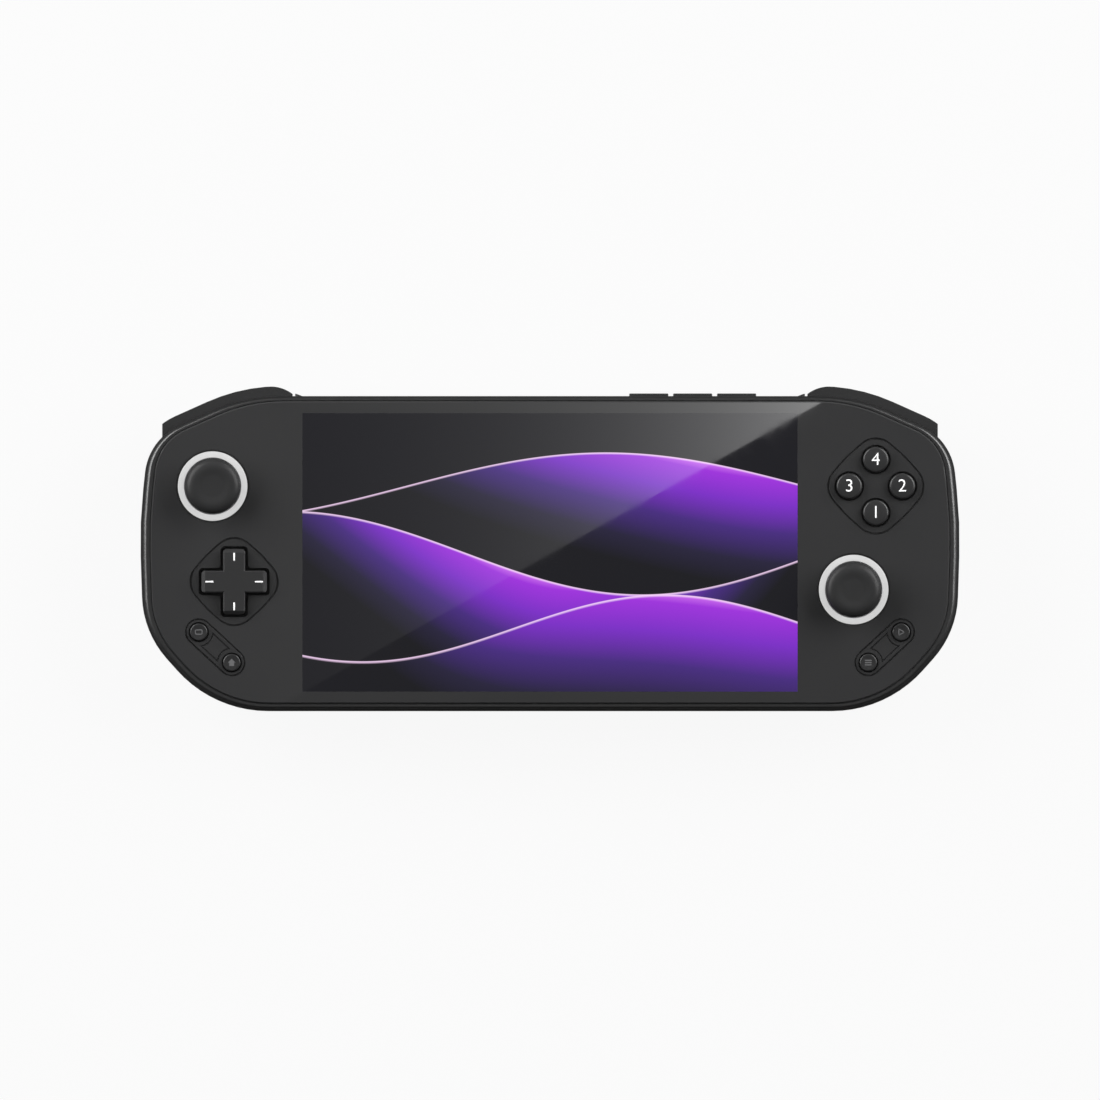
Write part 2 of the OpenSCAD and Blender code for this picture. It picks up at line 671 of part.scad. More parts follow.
// Flat cable with a plug at each end, under a control board and the main board
flex_drop = 5.5;
flex_y = boss_points[0].y - flex_drop;
flex_w = 5;
flex_t = 0.2;
plug_size = [3.6, flex_w + 1, 0.9];
plug_places = [board_w / 2 - plug_size.x - 1, control_x + 0.4];
z_plug = z_board - board_t - plug_size.z;
module flex() {
  for (x = plug_places) translate([x, flex_y - plug_size.y / 2, z_plug]) cube(plug_size);
  translate([plug_places[0] + 1, flex_y - flex_w / 2, z_plug - flex_t])
    cube([plug_places[1] - plug_places[0] + plug_size.x - 2, flex_w, flex_t]);
}
module left_flex() put(ring_c) mirror([1, 0, 0]) flex();
module right_flex() put(ring_c) flex();

// Rear shell
rear_straight = 0.7;
grip_top = 14;
grip_edge = 0.8;
grip_in = 10.2;
grip_rise = 4;
grip_start = z_back + grip_rise;
grip_floor = 1.6;
grip_bend = [19, 0.6];
grip_side = [0.9, 19.6];
grip_crown = 0.5;
grip_heel = 5;
grip_shoulder = 6;
grip_corners = [
  [half_w - grip_w, grip_heel - half_h, 8],
  [half_w - grip_bend.x, grip_bend.y - half_h, 18],
  [half_w - grip_side.x, grip_side.y - half_h, 18],
  [half_w - grip_crown, grip_top, 12],
  [half_w - grip_w, grip_top - grip_shoulder, 12]];
z_round = z_part - rear_straight;
// Round of the back from z1 down to z0: moved inwards by d at the top and more below
function back_round(c, d, reach, z0, z1, low, fall, step) = [for (a = [low : -fall : 0])
  [z1 - (z1 - z0) * sin(a) / sin(low), rounded(even_inset(c, d + reach * (1 - cos(a))), step)]];
grip_tie = 1;
grip_low = 80;
grip_step = 9;
room_step = 12;
room_less = 0.6;
module rear_skin() {
  loft(concat(back_round(corners, 0, rear_in, z_back, z_round, 90, 15, arc_step),
    [[z_part, body_line(0)]]));
  both() loft(concat(
    back_round(grip_corners, grip_edge, grip_in, 0, grip_start, grip_low, grip_low / 6, grip_step),
    [[grip_start + grip_tie, rounded(even_inset(grip_corners, grip_edge), grip_step)]]));
}
module rear_room() {
  loft(concat(
    back_round(corners, wall, rear_in - room_less, z_floor, z_round, 90, 30, room_step),
    [[z_part + 1, rounded(even_inset(corners, wall), room_step)]]));
  both() loft(concat(
    back_round(grip_corners, grip_edge + wall, grip_in - room_less, grip_floor, grip_start, 90, 30,
      room_step),
    [[grip_start + grip_tie, rounded(even_inset(grip_corners, grip_edge + wall), room_step)]]));
}

// Trigger pin and the ribs that hold it, in the frame of the slope
pin_v = -4;
z_pin = z_part - 1.9;
pin_u0 = -10.6;
pin_u1 = 6.6;
rib_t = 1.6;
rib_deep = 5.9;
rib_foot = 5.4;
rib_head = 3;
rib_places = [pin_u0, pin_u1 - rib_t];
trigger_u0 = -11;
trigger_u1 = 8;
z_trigger = z_back - 1.3;
// Upright profile in the plane across the slope, drawn from u0 to u1
module across(points, u0, u1) translate([u0, 0, 0]) rotate([90, 0, 90])
  linear_extrude(u1 - u0) polygon(points);
module trigger_ribs() for (u = rib_places)
  across([[-rib_deep, 0], [-rib_foot, 0], [-rib_foot, z_pin - 2.2], [-rib_head, z_pin - 1.2],
    [-rib_head, z_part], [-rib_deep, z_part]], u, u + rib_t);
module trigger_room() difference() {
  translate([trigger_u0 - slot_gap, -5, -1]) cube([trigger_u1 - trigger_u0 + 2 * slot_gap, 20, z_part + 2]);
  trigger_ribs();
}
vent_l = 12;
vent_w = 1.6;
lip_h = 0.6;
lip_t = 0.9;
vent_pitch = [16, 3.6];
vent_down = 27.75;
module vents() for (c = [-1 : 1], i = [0 : 5])
  translate([c * vent_pitch.x - vent_l / 2, half_h - vent_down + i * vent_pitch.y, z_back - 1]) {
    cube([vent_l, vent_w, floor_t + 2]);
    for (s = [0, vent_l]) translate([s, vent_w / 2, 0]) cylinder(r = vent_w / 2, h = floor_t + 2);
  }
lip_gap = 0.15;
lip_foot = 1.4;
module lip() difference() {
  union() {
    prism(body_line(wall - 0.4), z_part - lip_foot, z_part - 0.05);
    prism(body_line(wall + lip_gap), z_part - 0.2, z_part + lip_h);
  }
  prism(body_line(wall + lip_gap + lip_t), z_part - 2, z_part + 1);
  both() translate([bumper_x0 - 3, 10, z_part - 2]) cube([half_w, half_h, 4]);
  translate([jack_x - jack_w / 2 - port_gap, -half_h, z_jack - jack_h / 2 - port_gap])
    cube([jack_w + 2 * port_gap, jack_end, jack_h]);
}
module rear_shell() put(shell_c) difference() {
  union() {
    difference() {
      rear_skin();
      difference() {
        rear_room();
        both() at(case_points) rod([0, 0], case_post_r, -1, z_part + 1);
        both() on_slope() trigger_ribs();
      }
    }
    lip();
  }
  both() on_slope() trigger_room();
  both() on_slope() translate([0, pin_v, z_pin]) x_rod(pin_r, pin_u0 - 0.1, pin_u1 + 0.1);
  both() at(case_points) rod([0, 0], screw_r + 0.2, -1, z_part + 1);
  both() at(case_points) rod([0, 0], screw_head_r + 0.3, -1, z_head);
  vents();
}

module case_screws() put(metal_c) both() at(case_points) {
  rod([0, 0], screw_r, z_head - 0.1, z_head + case_screw_l);
  rod([0, 0], screw_head_r, z_head - 1.3, z_head);
}

// Small screws: control boards, display frame, main and socket boards, stick housings
module small_screw(z0, l) {
  rod([0, 0], small_r, z0 - 0.1, z0 + l);
  rod([0, 0], small_head_r, z0 - 0.7, z0);
}
module board_screws() put(metal_c) {
  both() {
    at(boss_points) small_screw(z_board - board_t, 3.6);
    at(tab_points) small_screw(z_frame, 1.7);
    at(frame_posts) small_screw(z_board - board_t, 3.6);
    at(socket_posts) small_screw(z_board - board_t, 3.6);
  }
  at([left_stick, right_stick]) at(ear_points) small_screw(stick_ear_top - ear_t, 2.5);
}

// Stick: housing, gimbal of two yokes, shaft and cap
z_pivot = z_face - pivot_deep;
housing_floor = z_pivot - 5;
stick_ear_top = z_pivot + 3.5;
ear_t = 0.8;
housing_wall = 0.8;
yoke_in = 4.3;
yoke_out = 5.7;
yoke_h = 1.1;
outer_pin_r = 1;
inner_pin_r = 0.8;
hub_r = 3;
hub_h = 2;
flange_r = 2.2;
cap_neck_r = 2.7;
dome_r = 6;
dome_t = 0.8;
dome_edge = 50;
shaft_top = cap_lift + 0.4;

module stick_housing() difference() {
  union() {
    block([housing_w, housing_w, stick_ear_top - housing_floor], housing_floor);
    at(ear_points) rod([0, 0], ear_r, stick_ear_top - ear_t, stick_ear_top);
  }
  block([housing_w - 2 * housing_wall, housing_w - 2 * housing_wall, stick_ear_top - housing_floor - 1.4],
    housing_floor + 0.8);
  rod([0, 0], dome_r + 0.4, z_pivot, stick_ear_top + 1);
  translate([0, 0, z_pivot]) x_rod(outer_pin_r + fit, -housing_w, housing_w);
  at(ear_points) rod([0, 0], small_r, stick_ear_top - 2, stick_ear_top + 1);
}
module outer_yoke() translate([0, 0, z_pivot]) difference() {
  union() {
    rod([0, 0], yoke_out, -yoke_h, yoke_h);
    x_rod(outer_pin_r, -housing_w / 2 - 0.3, housing_w / 2 + 0.3);
  }
  rod([0, 0], yoke_in, -yoke_h - 1, yoke_h + 1);
  y_rod(inner_pin_r + fit, -yoke_out - 1, yoke_out + 1);
}
module inner_yoke() translate([0, 0, z_pivot]) difference() {
  union() {
    rod([0, 0], hub_r, -hub_h, hub_h);
    y_rod(inner_pin_r, -yoke_out - 0.2, yoke_out + 0.2);
  }
  rod([0, 0], shaft_r + fit, -hub_h - 1, hub_h + 1);
}
module shaft() {
  rod([0, 0], shaft_r, z_pivot - hub_h - 0.6, z_face + shaft_top);
  rod([0, 0], flange_r, z_pivot - hub_h - 0.65, z_pivot - hub_h - fit);
}
// Arc of the round skirt under the cap, from angle a0 to a1 off the shaft
function skirt(r, a0, a1) = [for (k = [0 : 4])
  let (a = a0 + (a1 - a0) * k / 4) [r * sin(a), r * cos(a) - pivot_deep]];
cap_top = cap_lift + cap_t;
brow = [0.95, 1.15];
dish_in = 2.4;
dish_out = cap_r - brow.x;
dish_deep = 0.7;
dish_steps = 8;
cap_profile = concat(
  [[shaft_r, shaft_top], [0, shaft_top], [0, cap_top - dish_deep]],
  [for (k = [0 : dish_steps - 1]) [dish_in + (dish_out - dish_in) * k / dish_steps,
    cap_top - dish_deep * (1 + cos(180 * k / dish_steps)) / 2]],
  [for (a = [0 : 22.5 : 90]) [cap_r - brow.x * (1 - sin(a)), cap_top - brow.y * (1 - cos(a))]],
  [[cap_r - 0.1, cap_lift + 0.5], [cap_r - 0.6, cap_lift], [cap_neck_r, cap_lift]],
  skirt(dome_r, asin(cap_neck_r / dome_r), dome_edge),
  skirt(dome_r - dome_t, dome_edge, asin(shaft_r / (dome_r - dome_t))));
module cap() translate([0, 0, z_face]) rotate_extrude() polygon(cap_profile);

module left_stick_housing() put(metal_c) at([left_stick]) stick_housing();
module right_stick_housing() put(metal_c) at([right_stick]) stick_housing();
module left_outer_yoke() put(black_c) at([left_stick]) outer_yoke();
module right_outer_yoke() put(black_c) at([right_stick]) outer_yoke();
module left_inner_yoke() put(black_c) at([left_stick]) inner_yoke();
module right_inner_yoke() put(black_c) at([right_stick]) inner_yoke();
module left_shaft() put(metal_c) at([left_stick]) shaft();
module right_shaft() put(metal_c) at([right_stick]) shaft();
module left_cap() put(cap_c) at([left_stick]) cap();
module right_cap() put(cap_c) at([right_stick]) cap();

// Cross pad on its spider
z_pad = z_board + 1.3;
flange_low = z_pad + 1.1;
pad_flange_t = 0.8;
pad_flange_r = 9.6;
spider_r = 0.5;
spider_l = 3.8;
lug_in = 2.3;
lug_t = 1;
lug_w = 1.8;
lug_low = 0.85;
lug_rows = [-lug_in - lug_t, lug_in];
cradle_w = 2.2;
dome_reach = 6.3;
sheet_t = 0.5;
// Bar of the cross with a sloped fall at both ends
pad_break = 0.3;
pad_end = 0.9;
pad_fall = 0.9;
module cross_bar(l, w) hull() {
  block([l, w, z_face + pad_proud - pad_fall - flange_low], flange_low);
  block([l - 2 * pad_end, w, 0.1], z_face + pad_proud - pad_break - 0.1);
  block([l - 2 * pad_end, w - 2 * pad_break, 0.1], z_face + pad_proud - 0.1);
}
module cross_pad() put(cap_c) translate([pad.x, pad.y, 0]) difference() {
  union() {
    cross_bar(pad_span, pad_arm);
    rotate([0, 0, 90]) cross_bar(pad_span, pad_arm);
    rod([0, 0], pad_flange_r, flange_low, flange_low + pad_flange_t);
    for (y = lug_rows) translate([-lug_w / 2, y, z_pad - lug_low]) cube([lug_w, lug_t, 2]);
  }
  translate([0, 0, z_pad]) y_rod(spider_r + fit, -spider_l - 1, spider_l + 1);
}
module pad_spider() put(metal_c) translate([pad.x, pad.y, z_pad]) {
  x_rod(spider_r, -spider_l, spider_l);
  y_rod(spider_r, -spider_l, spider_l);
  y_rod(0.8, -1.2, 1.2);
}
module pad_cradle() put(black_c) translate([pad.x, pad.y, 0]) difference() {
  union() {
    block([8, cradle_w, 0.4], z_board);
    for (x = lug_rows) translate([x, -cradle_w / 2, z_board]) cube([lug_t, cradle_w, z_pad - z_board + 0.75]);
  }
  translate([0, 0, z_pad]) x_rod(spider_r + fit, -spider_l - 1, spider_l + 1);
}
module rubber_dome(top) {
  translate([0, 0, z_board + sheet_t]) cylinder(r1 = 2.4, r2 = 1.6, h = top - z_board - sheet_t - 0.6);
  rod([0, 0], 1.6, top - 0.6, top);
}
module pad_membrane() put(rubber_c) translate([pad.x, pad.y, 0]) {
  difference() {
    rod([0, 0], pad_flange_r - 0.4, z_board, z_board + sheet_t);
    rod([0, 0], 4.3, z_board - 1, z_board + 1);
  }
  for (a = [0 : 90 : 270]) translate([dome_reach * cos(a), dome_reach * sin(a), 0])
    rubber_dome(flange_low - fit);
}

// Face buttons with a flange under the deck, over one membrane
face_flange_t = 1;
face_flange_z = z_deck - seat - face_flange_t;
face_break = 0.5;
module face_button(i) put(cap_c) translate([face.x + face_spots[i].x, face.y + face_spots[i].y, 0]) {
  rod([0, 0], face_r + 0.95, face_flange_z, face_flange_z + face_flange_t);
  translate([0, 0, z_face]) rotate_extrude() polygon([
    [0, face_flange_z - z_face], [face_r, face_flange_z - z_face], [face_r, face_proud - face_break - 0.35],
    [face_r - 0.12, face_proud - face_break], [face_r - 0.5, face_proud - 0.3],
    [face_r - 1.1, face_proud - 0.14], [face_r - 2, face_proud - 0.04], [0, face_proud]]);
}
module face_button_top() face_button(0);
module face_button_left() face_button(1);
module face_button_right() face_button(2);
module face_button_bottom() face_button(3);
module face_membrane() put(rubber_c) translate([face.x, face.y, 0]) {
  rod([0, 0], 4.4, z_board, z_board + sheet_t);
  at(face_spots) rod([0, 0], 3.8, z_board, z_board + sheet_t);
  at(face_spots) rubber_dome(face_flange_z - fit);
}

// Function buttons with a stem over a switch
func_gap = 0.6;
func_break = 0.3;
module func_button(p) translate([p.x, p.y, 0]) {
  rod([0, 0], func_r + 0.6, face_flange_z, face_flange_z + face_flange_t);
  rod([0, 0], 1.2, z_board + switch_h + func_gap, face_flange_z + 0.1);
  translate([0, 0, z_face]) rotate_extrude() polygon([
    [0, face_flange_z - z_face + 0.1], [func_r, face_flange_z - z_face + 0.1],
    [func_r, func_proud - func_break], [func_r - func_break, func_proud], [0, func_proud]]);
}
module select_button() put(cap_c) mirror([1, 0, 0]) func_button(func_outer);
module home_button() put(cap_c) mirror([1, 0, 0]) func_button(func_inner);
module start_button() put(cap_c) func_button(func_outer);
module menu_button() put(cap_c) func_button(func_inner);

// Bumpers, each on a post of the front shell
module bumper_shape() difference() {
  intersection() {
    polygon(body_line(-bumper_rise));
    union() {
      translate([nose.x, half_h - 14]) square([bumper_x1 - nose.x, 20]);
      intersection() {
        translate(nose) circle(nose_r);
        translate([bumper_x0, half_h - 14]) square([20, 20]);
      }
    }
  }
  polygon(body_line(bumper_deep));
}
module bumper() difference() {
  union() {
    translate([0, 0, z_bumper]) linear_extrude(bumper_top - z_bumper) bumper_shape();
    rod(bumper_post, post_r + 1.1, z_bumper, bumper_top);
  }
  rod(bumper_post, post_r + fit, z_bumper - 1, bumper_top + 1);
}
module left_bumper() put(cap_c) mirror([1, 0, 0]) bumper();
module right_bumper() put(cap_c) bumper();

// Triggers behind the bumpers, each on a steel pin
lug_places = [[-8.4, -6.4], [2.4, 4.4]];
trigger_lug_r = 1.8;
trigger_back = -2.4;
trigger_top = z_part - 0.2;
trigger_profile = [[trigger_rise, trigger_top], [trigger_rise - 0.5, trigger_top - 1.5],
  [trigger_rise - 0.75, trigger_top - 3.2], [trigger_rise - 0.65, trigger_top - 4.8],
  [trigger_rise - 0.2, z_trigger + 1.7], [trigger_rise + 0.1, z_trigger + 0.8],
  [trigger_rise - 0.2, z_trigger + 0.2], [trigger_rise - 0.9, z_trigger], [-2.2, z_trigger],
  [-2.9, z_trigger + 0.5], [-2.6, z_trigger + 3.3], [trigger_back, trigger_top]];
module trigger() on_slope() difference() {
  union() {
    across(trigger_profile, trigger_u0, trigger_u1);
    for (l = lug_places) translate([0, pin_v, z_pin]) {
      x_rod(trigger_lug_r, l[0], l[1]);
      translate([l[0], 0, -1.2]) cube([l[1] - l[0], trigger_back - pin_v + 0.4, 2.4]);
    }
  }
  translate([0, pin_v, z_pin]) x_rod(pin_r + fit, trigger_u0 - 1, trigger_u1 + 1);
}
module left_trigger() put(cap_c) mirror([1, 0, 0]) trigger();
module right_trigger() put(cap_c) trigger();
module on_pin() both() on_slope() translate([0, pin_v, z_pin]) children();
module trigger_pins() put(metal_c) on_pin() x_rod(pin_r, pin_u0, pin_u1);
spring_t = 0.6;
spring_ends = [lug_places[0][1] + 1, lug_places[1][0] - 1];
module trigger_springs() put(metal_c) on_pin() difference() {
  x_rod(pin_r + spring_t, spring_ends[0], spring_ends[1]);
  x_rod(pin_r, spring_ends[0] - 1, spring_ends[1] + 1);
}

// Top edge buttons
key_back = wall + seat;
module key(x) put(cap_c) translate([x, half_h, z_port]) {
  translate([-key_l / 2, -key_back - 0.4, -key_h / 2]) cube([key_l, key_back + 0.4 + key_proud, key_h]);
  translate([-key_l / 2 - 0.5, -key_back - 0.8, -key_h / 2 - 0.5]) cube([key_l + 1, 0.8, key_h + 1]);
}
module volume_down_button() key(key_places[0]);
module volume_up_button() key(key_places[1]);
module power_button() key(key_places[2]);

front_shell();
cover_glass();
rear_shell();
display();
display_frame();
main_board();
socket_board();
battery();
heat_spreader();
usb_socket();
headphone_socket();
card_socket();
left_speaker();
right_speaker();
left_control_board();
right_control_board();
pad_surround();
face_surround();
left_pill_plate();
right_pill_plate();
left_light_ring();
right_light_ring();
left_stick_housing();
right_stick_housing();
pad_membrane();
face_membrane();
pad_cradle();
trigger_pins();
trigger_springs();
case_screws();
board_screws();
left_flex();
right_flex();
left_outer_yoke();
left_inner_yoke();
left_shaft();
left_cap();
right_outer_yoke();
right_inner_yoke();
right_shaft();
right_cap();
pad_spider();
cross_pad();
face_button_top();
face_button_left();
face_button_right();
face_button_bottom();
select_button();
home_button();
start_button();
menu_button();
left_bumper();
right_bumper();
left_trigger();
right_trigger();
volume_down_button();
volume_up_button();
power_button();
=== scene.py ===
"""Looks of a handheld game console that lies on its back with the screen up."""
from math import asin, atan2, cos, pi, radians, sin

import bpy
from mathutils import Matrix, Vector


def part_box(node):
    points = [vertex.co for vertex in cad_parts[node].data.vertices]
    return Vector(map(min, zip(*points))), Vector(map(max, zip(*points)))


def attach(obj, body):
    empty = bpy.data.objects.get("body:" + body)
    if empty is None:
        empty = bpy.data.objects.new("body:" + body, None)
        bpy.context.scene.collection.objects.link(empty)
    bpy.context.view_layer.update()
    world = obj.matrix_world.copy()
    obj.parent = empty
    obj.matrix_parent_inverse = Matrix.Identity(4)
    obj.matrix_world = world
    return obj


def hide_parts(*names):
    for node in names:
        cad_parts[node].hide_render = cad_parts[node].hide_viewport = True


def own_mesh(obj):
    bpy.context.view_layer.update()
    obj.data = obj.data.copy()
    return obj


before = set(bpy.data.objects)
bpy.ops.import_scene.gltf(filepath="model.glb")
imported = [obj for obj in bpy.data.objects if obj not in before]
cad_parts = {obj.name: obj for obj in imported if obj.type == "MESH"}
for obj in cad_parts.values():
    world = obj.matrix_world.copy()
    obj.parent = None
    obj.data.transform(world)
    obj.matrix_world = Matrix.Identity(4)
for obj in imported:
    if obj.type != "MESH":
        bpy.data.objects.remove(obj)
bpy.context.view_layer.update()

MM = 0.001

# Levels and places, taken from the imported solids
FACE_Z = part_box("cover_glass")[1].z
SEAT_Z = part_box("cover_glass")[0].z
PLATE_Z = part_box("face_surround")[1].z


def middle(node):
    """Middle of a node, seen from above."""
    low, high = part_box(node)
    return Vector(((low.x + high.x) / 2, (low.y + high.y) / 2, 0))


def radius_of(node):
    """Largest radius of a round node."""
    low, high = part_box(node)
    return (high.x - low.x) / 2


# Lit picture of the display, behind the clear part of the cover glass
PICTURE_EDGE = 2.3 * MM
PICTURE_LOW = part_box("display")[0] + Vector((PICTURE_EDGE, PICTURE_EDGE / 2, 0))
PICTURE_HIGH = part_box("display")[1] - Vector((PICTURE_EDGE, PICTURE_EDGE / 2, 0))


# Selecting and finishing

def pick(piece):
    bpy.ops.object.select_all(action="DESELECT")
    piece.select_set(True)
    bpy.context.view_layer.objects.active = piece


def edit(piece):
    pick(piece)
    bpy.ops.object.mode_set(mode="EDIT")
    bpy.ops.mesh.select_all(action="SELECT")


def leave():
    bpy.ops.object.mode_set(mode="OBJECT")
    return bpy.context.view_layer.objects.active


def apply_modifier(piece, kind, **settings):
    pick(piece)
    modifier = piece.modifiers.new(kind.lower(), kind)
    for key, value in settings.items():
        setattr(modifier, key, value)
    bpy.ops.object.modifier_apply(modifier=modifier.name)


def smooth(piece, angle=35):
    pick(piece)
    bpy.ops.object.shade_smooth_by_angle(angle=radians(angle))


def settle(piece):
    """Puts the place of a piece into its mesh."""
    pick(piece)
    bpy.ops.object.transform_apply(location=True, rotation=True, scale=True)


def rename(piece, name):
    piece.name = name
    piece.data.name = name
    return piece


def hold(piece, body, slot, finish, *nodes):
    """Gives a piece its finish and its body, and hides the nodes that it stands for."""
    piece.data.materials.clear()
    piece.data.materials.append(finish)
    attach(piece, body)
    if nodes:
        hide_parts(*nodes)
    return piece


# Ways of making a piece

CORNER_STEPS = 4
SOLID_WELD = 0.001 * MM
WELD = 0.002 * MM
FLAT_ANGLE = 0.4
SLACK = 0.01 * MM


def copied(node, name):
    """A closed copy of a solid, with its flat faces made whole."""
    piece = bpy.data.objects.new(name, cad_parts[node].data.copy())
    bpy.context.scene.collection.objects.link(piece)
    piece.data.name = name
    edit(piece)
    bpy.ops.mesh.remove_doubles(threshold=SOLID_WELD)
    bpy.ops.mesh.dissolve_limited(angle_limit=radians(FLAT_ANGLE))
    return leave()


def softened(piece, width, segments=3, angle=32):
    """Rounds the edges of a piece."""
    apply_modifier(piece, "BEVEL", width=width, segments=segments, limit_method="ANGLE",
                   angle_limit=radians(angle), miter_outer="MITER_ARC", use_clamp_overlap=True)
    smooth(piece, 30)
    apply_modifier(piece, "WEIGHTED_NORMAL", keep_sharp=True, weight=80)
    return piece


def moulded(node, name, width, segments=3, angle=32):
    return softened(copied(node, name), width, segments, angle)


def square(name, size, place):
    """A level square."""
    bpy.ops.object.select_all(action="DESELECT")
    bpy.ops.mesh.primitive_plane_add(size=size, location=place)
    return rename(bpy.context.active_object, name)


def traced(name, start, moves):
    """A line of edges, drawn from a start by moves, left open for editing."""
    piece = square(name, MM, start)
    settle(piece)
    edit(piece)
    bpy.ops.mesh.merge(type="CENTER")
    for move in moves:
        bpy.ops.mesh.extrude_region_move(TRANSFORM_OT_translate={"value": move})
    bpy.ops.mesh.select_all(action="SELECT")


def turned(name, place, profile, steps):
    """Spins a closed profile of radius and height about an upright axis."""
    start = Vector((place.x + profile[0][0], place.y, profile[0][1]))
    moves = [(r1 - r0, 0, z1 - z0) for (r0, z0), (r1, z1) in zip(profile, profile[1:])]
    traced(name, start, moves)
    bpy.ops.mesh.spin(steps=steps, angle=2 * pi, center=(place.x, place.y, 0), axis=(0, 0, 1))
    bpy.ops.mesh.select_all(action="SELECT")
    bpy.ops.mesh.remove_doubles(threshold=WELD)
    bpy.ops.mesh.normals_make_consistent(inside=False)
    piece = leave()
    smooth(piece, 40)
    return piece


def block(name, low, high):
    """Upright box between two corners."""
    size = high - low
    bpy.ops.object.select_all(action="DESELECT")
    bpy.ops.mesh.primitive_cube_add(size=1, location=(low + high) / 2)
    piece = rename(bpy.context.active_object, name)
    bpy.ops.transform.resize(value=size)
    settle(piece)
    return piece


def carve(piece, cutter, operation="DIFFERENCE"):
    apply_modifier(piece, "BOOLEAN", object=cutter, operation=operation, solver="EXACT")
    bpy.data.objects.remove(cutter)


def outline(name, places, rounding):
    """A flat face through places, with rounded corners, left open for editing."""
    traced(name, places[0], [end - start for start, end in zip(places, places[1:])])
    bpy.ops.mesh.edge_face_add()
    bpy.ops.mesh.bevel(offset=rounding, segments=CORNER_STEPS, affect="VERTICES")


def thickened(thickness):
    """Gives the face that is being edited a thickness, and leaves it."""
    bpy.ops.mesh.select_all(action="SELECT")
    bpy.ops.mesh.extrude_region_move(TRANSFORM_OT_translate={"value": (0, 0, thickness)})
    bpy.ops.mesh.select_all(action="SELECT")
    bpy.ops.mesh.normals_make_consistent(inside=False)
    return leave()


def corners_rounded(piece, radius, depth):
    """Rounds the lower corners of a bar, at both ends of its longest edge."""
    mesh = piece.data
    edges = [[mesh.vertices[index].co for index in edge.vertices] for edge in mesh.edges]
    start, end = max(edges, key=lambda pair: (pair[1] - pair[0]).length)
    along = end - start
    heights = [vertex.co.z for vertex in mesh.vertices]
    low, high = min(heights), max(heights) + 2 * radius
    half = along.length / 2 + SLACK
    corners = ((-half, low), (half, low), (half, high), (-half, high))
    outline(piece.name + "_keep", [Vector((x, z, -depth / 2)) for x, z in corners], radius)
    keep = thickened(depth)
    spot = (start + end) / 2
    keep.location = (spot.x, spot.y, 0)
    keep.rotation_euler = (pi / 2, 0, atan2(along.y, along.x))
    settle(keep)
    carve(piece, keep, "INTERSECT")
    return piece


def levelled(node, name, top):
    """A copy of a solid, cut off level at a height."""
    piece = copied(node, name)
    low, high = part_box(node)
    start = Vector((low.x - MM, low.y - MM, top))
    carve(piece, block(name + "_cut", start, high + Vector((MM, MM, MM))))
    smooth(piece)
    return piece


def arc(centre, radius, start, end, steps):
    """Points of an arc in a profile, by its angle from the axis upwards."""
    turns = [radians(start + (end - start) * k / steps) for k in range(steps + 1)]
    return [(centre[0] + radius * sin(turn), centre[1] + radius * cos(turn)) for turn in turns]


# Finishes

# Sizes of the patterns in them
SLOW_SIZE = 22 * MM
STAIN_SIZE = 6 * MM
PATCH_SIZE = 9 * MM
FROST_SIZE = 0.3 * MM
CLOUD_SIZE = 5 * MM
TINT_SIZE = 30 * MM
WIPE_SIZE = 6 * MM
# Sharpness at which an edge starts to be painted lighter, partly as rubbing and partly as a painted
# highlight along the edge, and at which it is fully so
EDGE_LIGHT_START = 0.52
EDGE_LIGHT_END = 0.6


def finish(name, colour, roughness, metallic=0.0):
    """New material with a shader, and the place that its patterns follow."""
    material = bpy.data.materials.new(name)
    material.use_nodes = True
    tree = material.node_tree
    shader = tree.nodes["Principled BSDF"]
    shader.inputs["Base Color"].default_value = (*colour, 1)
    shader.inputs["Roughness"].default_value = roughness
    shader.inputs["Metallic"].default_value = metallic
    place = tree.nodes.new("ShaderNodeTexCoord").outputs["Object"]
    return material, tree, shader, place


def noise(tree, place, size, detail):
    texture = tree.nodes.new("ShaderNodeTexNoise")
    texture.inputs["Scale"].default_value = 1 / size
    texture.inputs["Detail"].default_value = detail
    tree.links.new(place, texture.inputs["Vector"])
    return texture.outputs["Fac"]


def spread(tree, value, low, high, start=0.3, end=0.7):
    """Brings a pattern between two values."""
    change = tree.nodes.new("ShaderNodeMapRange")
    change.inputs["From Min"].default_value = start
    change.inputs["From Max"].default_value = end
    change.inputs["To Min"].default_value = low
    change.inputs["To Max"].default_value = high
    tree.links.new(value, change.inputs["Value"])
    return change.outputs["Result"]


def blend_colours(tree, factor, first, second):
    mix = tree.nodes.new("ShaderNodeMix")
    mix.data_type = "RGBA"
    tree.links.new(factor, mix.inputs["Factor"])
    for socket, colour in ((mix.inputs["A"], first), (mix.inputs["B"], second)):
        if isinstance(colour, tuple):
            socket.default_value = (*colour, 1)
        else:
            tree.links.new(colour, socket)
    return mix.outputs["Result"]


def calc(tree, operation, first, second=0.0):
    math = tree.nodes.new("ShaderNodeMath")
    math.operation = operation
    for socket, value in zip(math.inputs, (first, second)):
        if isinstance(value, (int, float)):
            socket.default_value = value
        else:
            tree.links.new(value, socket)
    return math.outputs["Value"]


def raise_bump(tree, shader, height, strength, distance):
    bump = tree.nodes.new("ShaderNodeBump")
    bump.inputs["Strength"].default_value = strength
    bump.inputs["Distance"].default_value = distance
    tree.links.new(height, bump.inputs["Height"])
    tree.links.new(bump.outputs["Normal"], shader.inputs["Normal"])


def wipe(tree, shader, place):
    """Faint wiping marks in the sheen of polished glass."""
    marks = noise(tree, place, WIPE_SIZE, 4.0)
    tree.links.new(spread(tree, marks, 0.002, 0.012), shader.inputs["Roughness"])


def grey(value):
    return (value, value, value * 1.02)


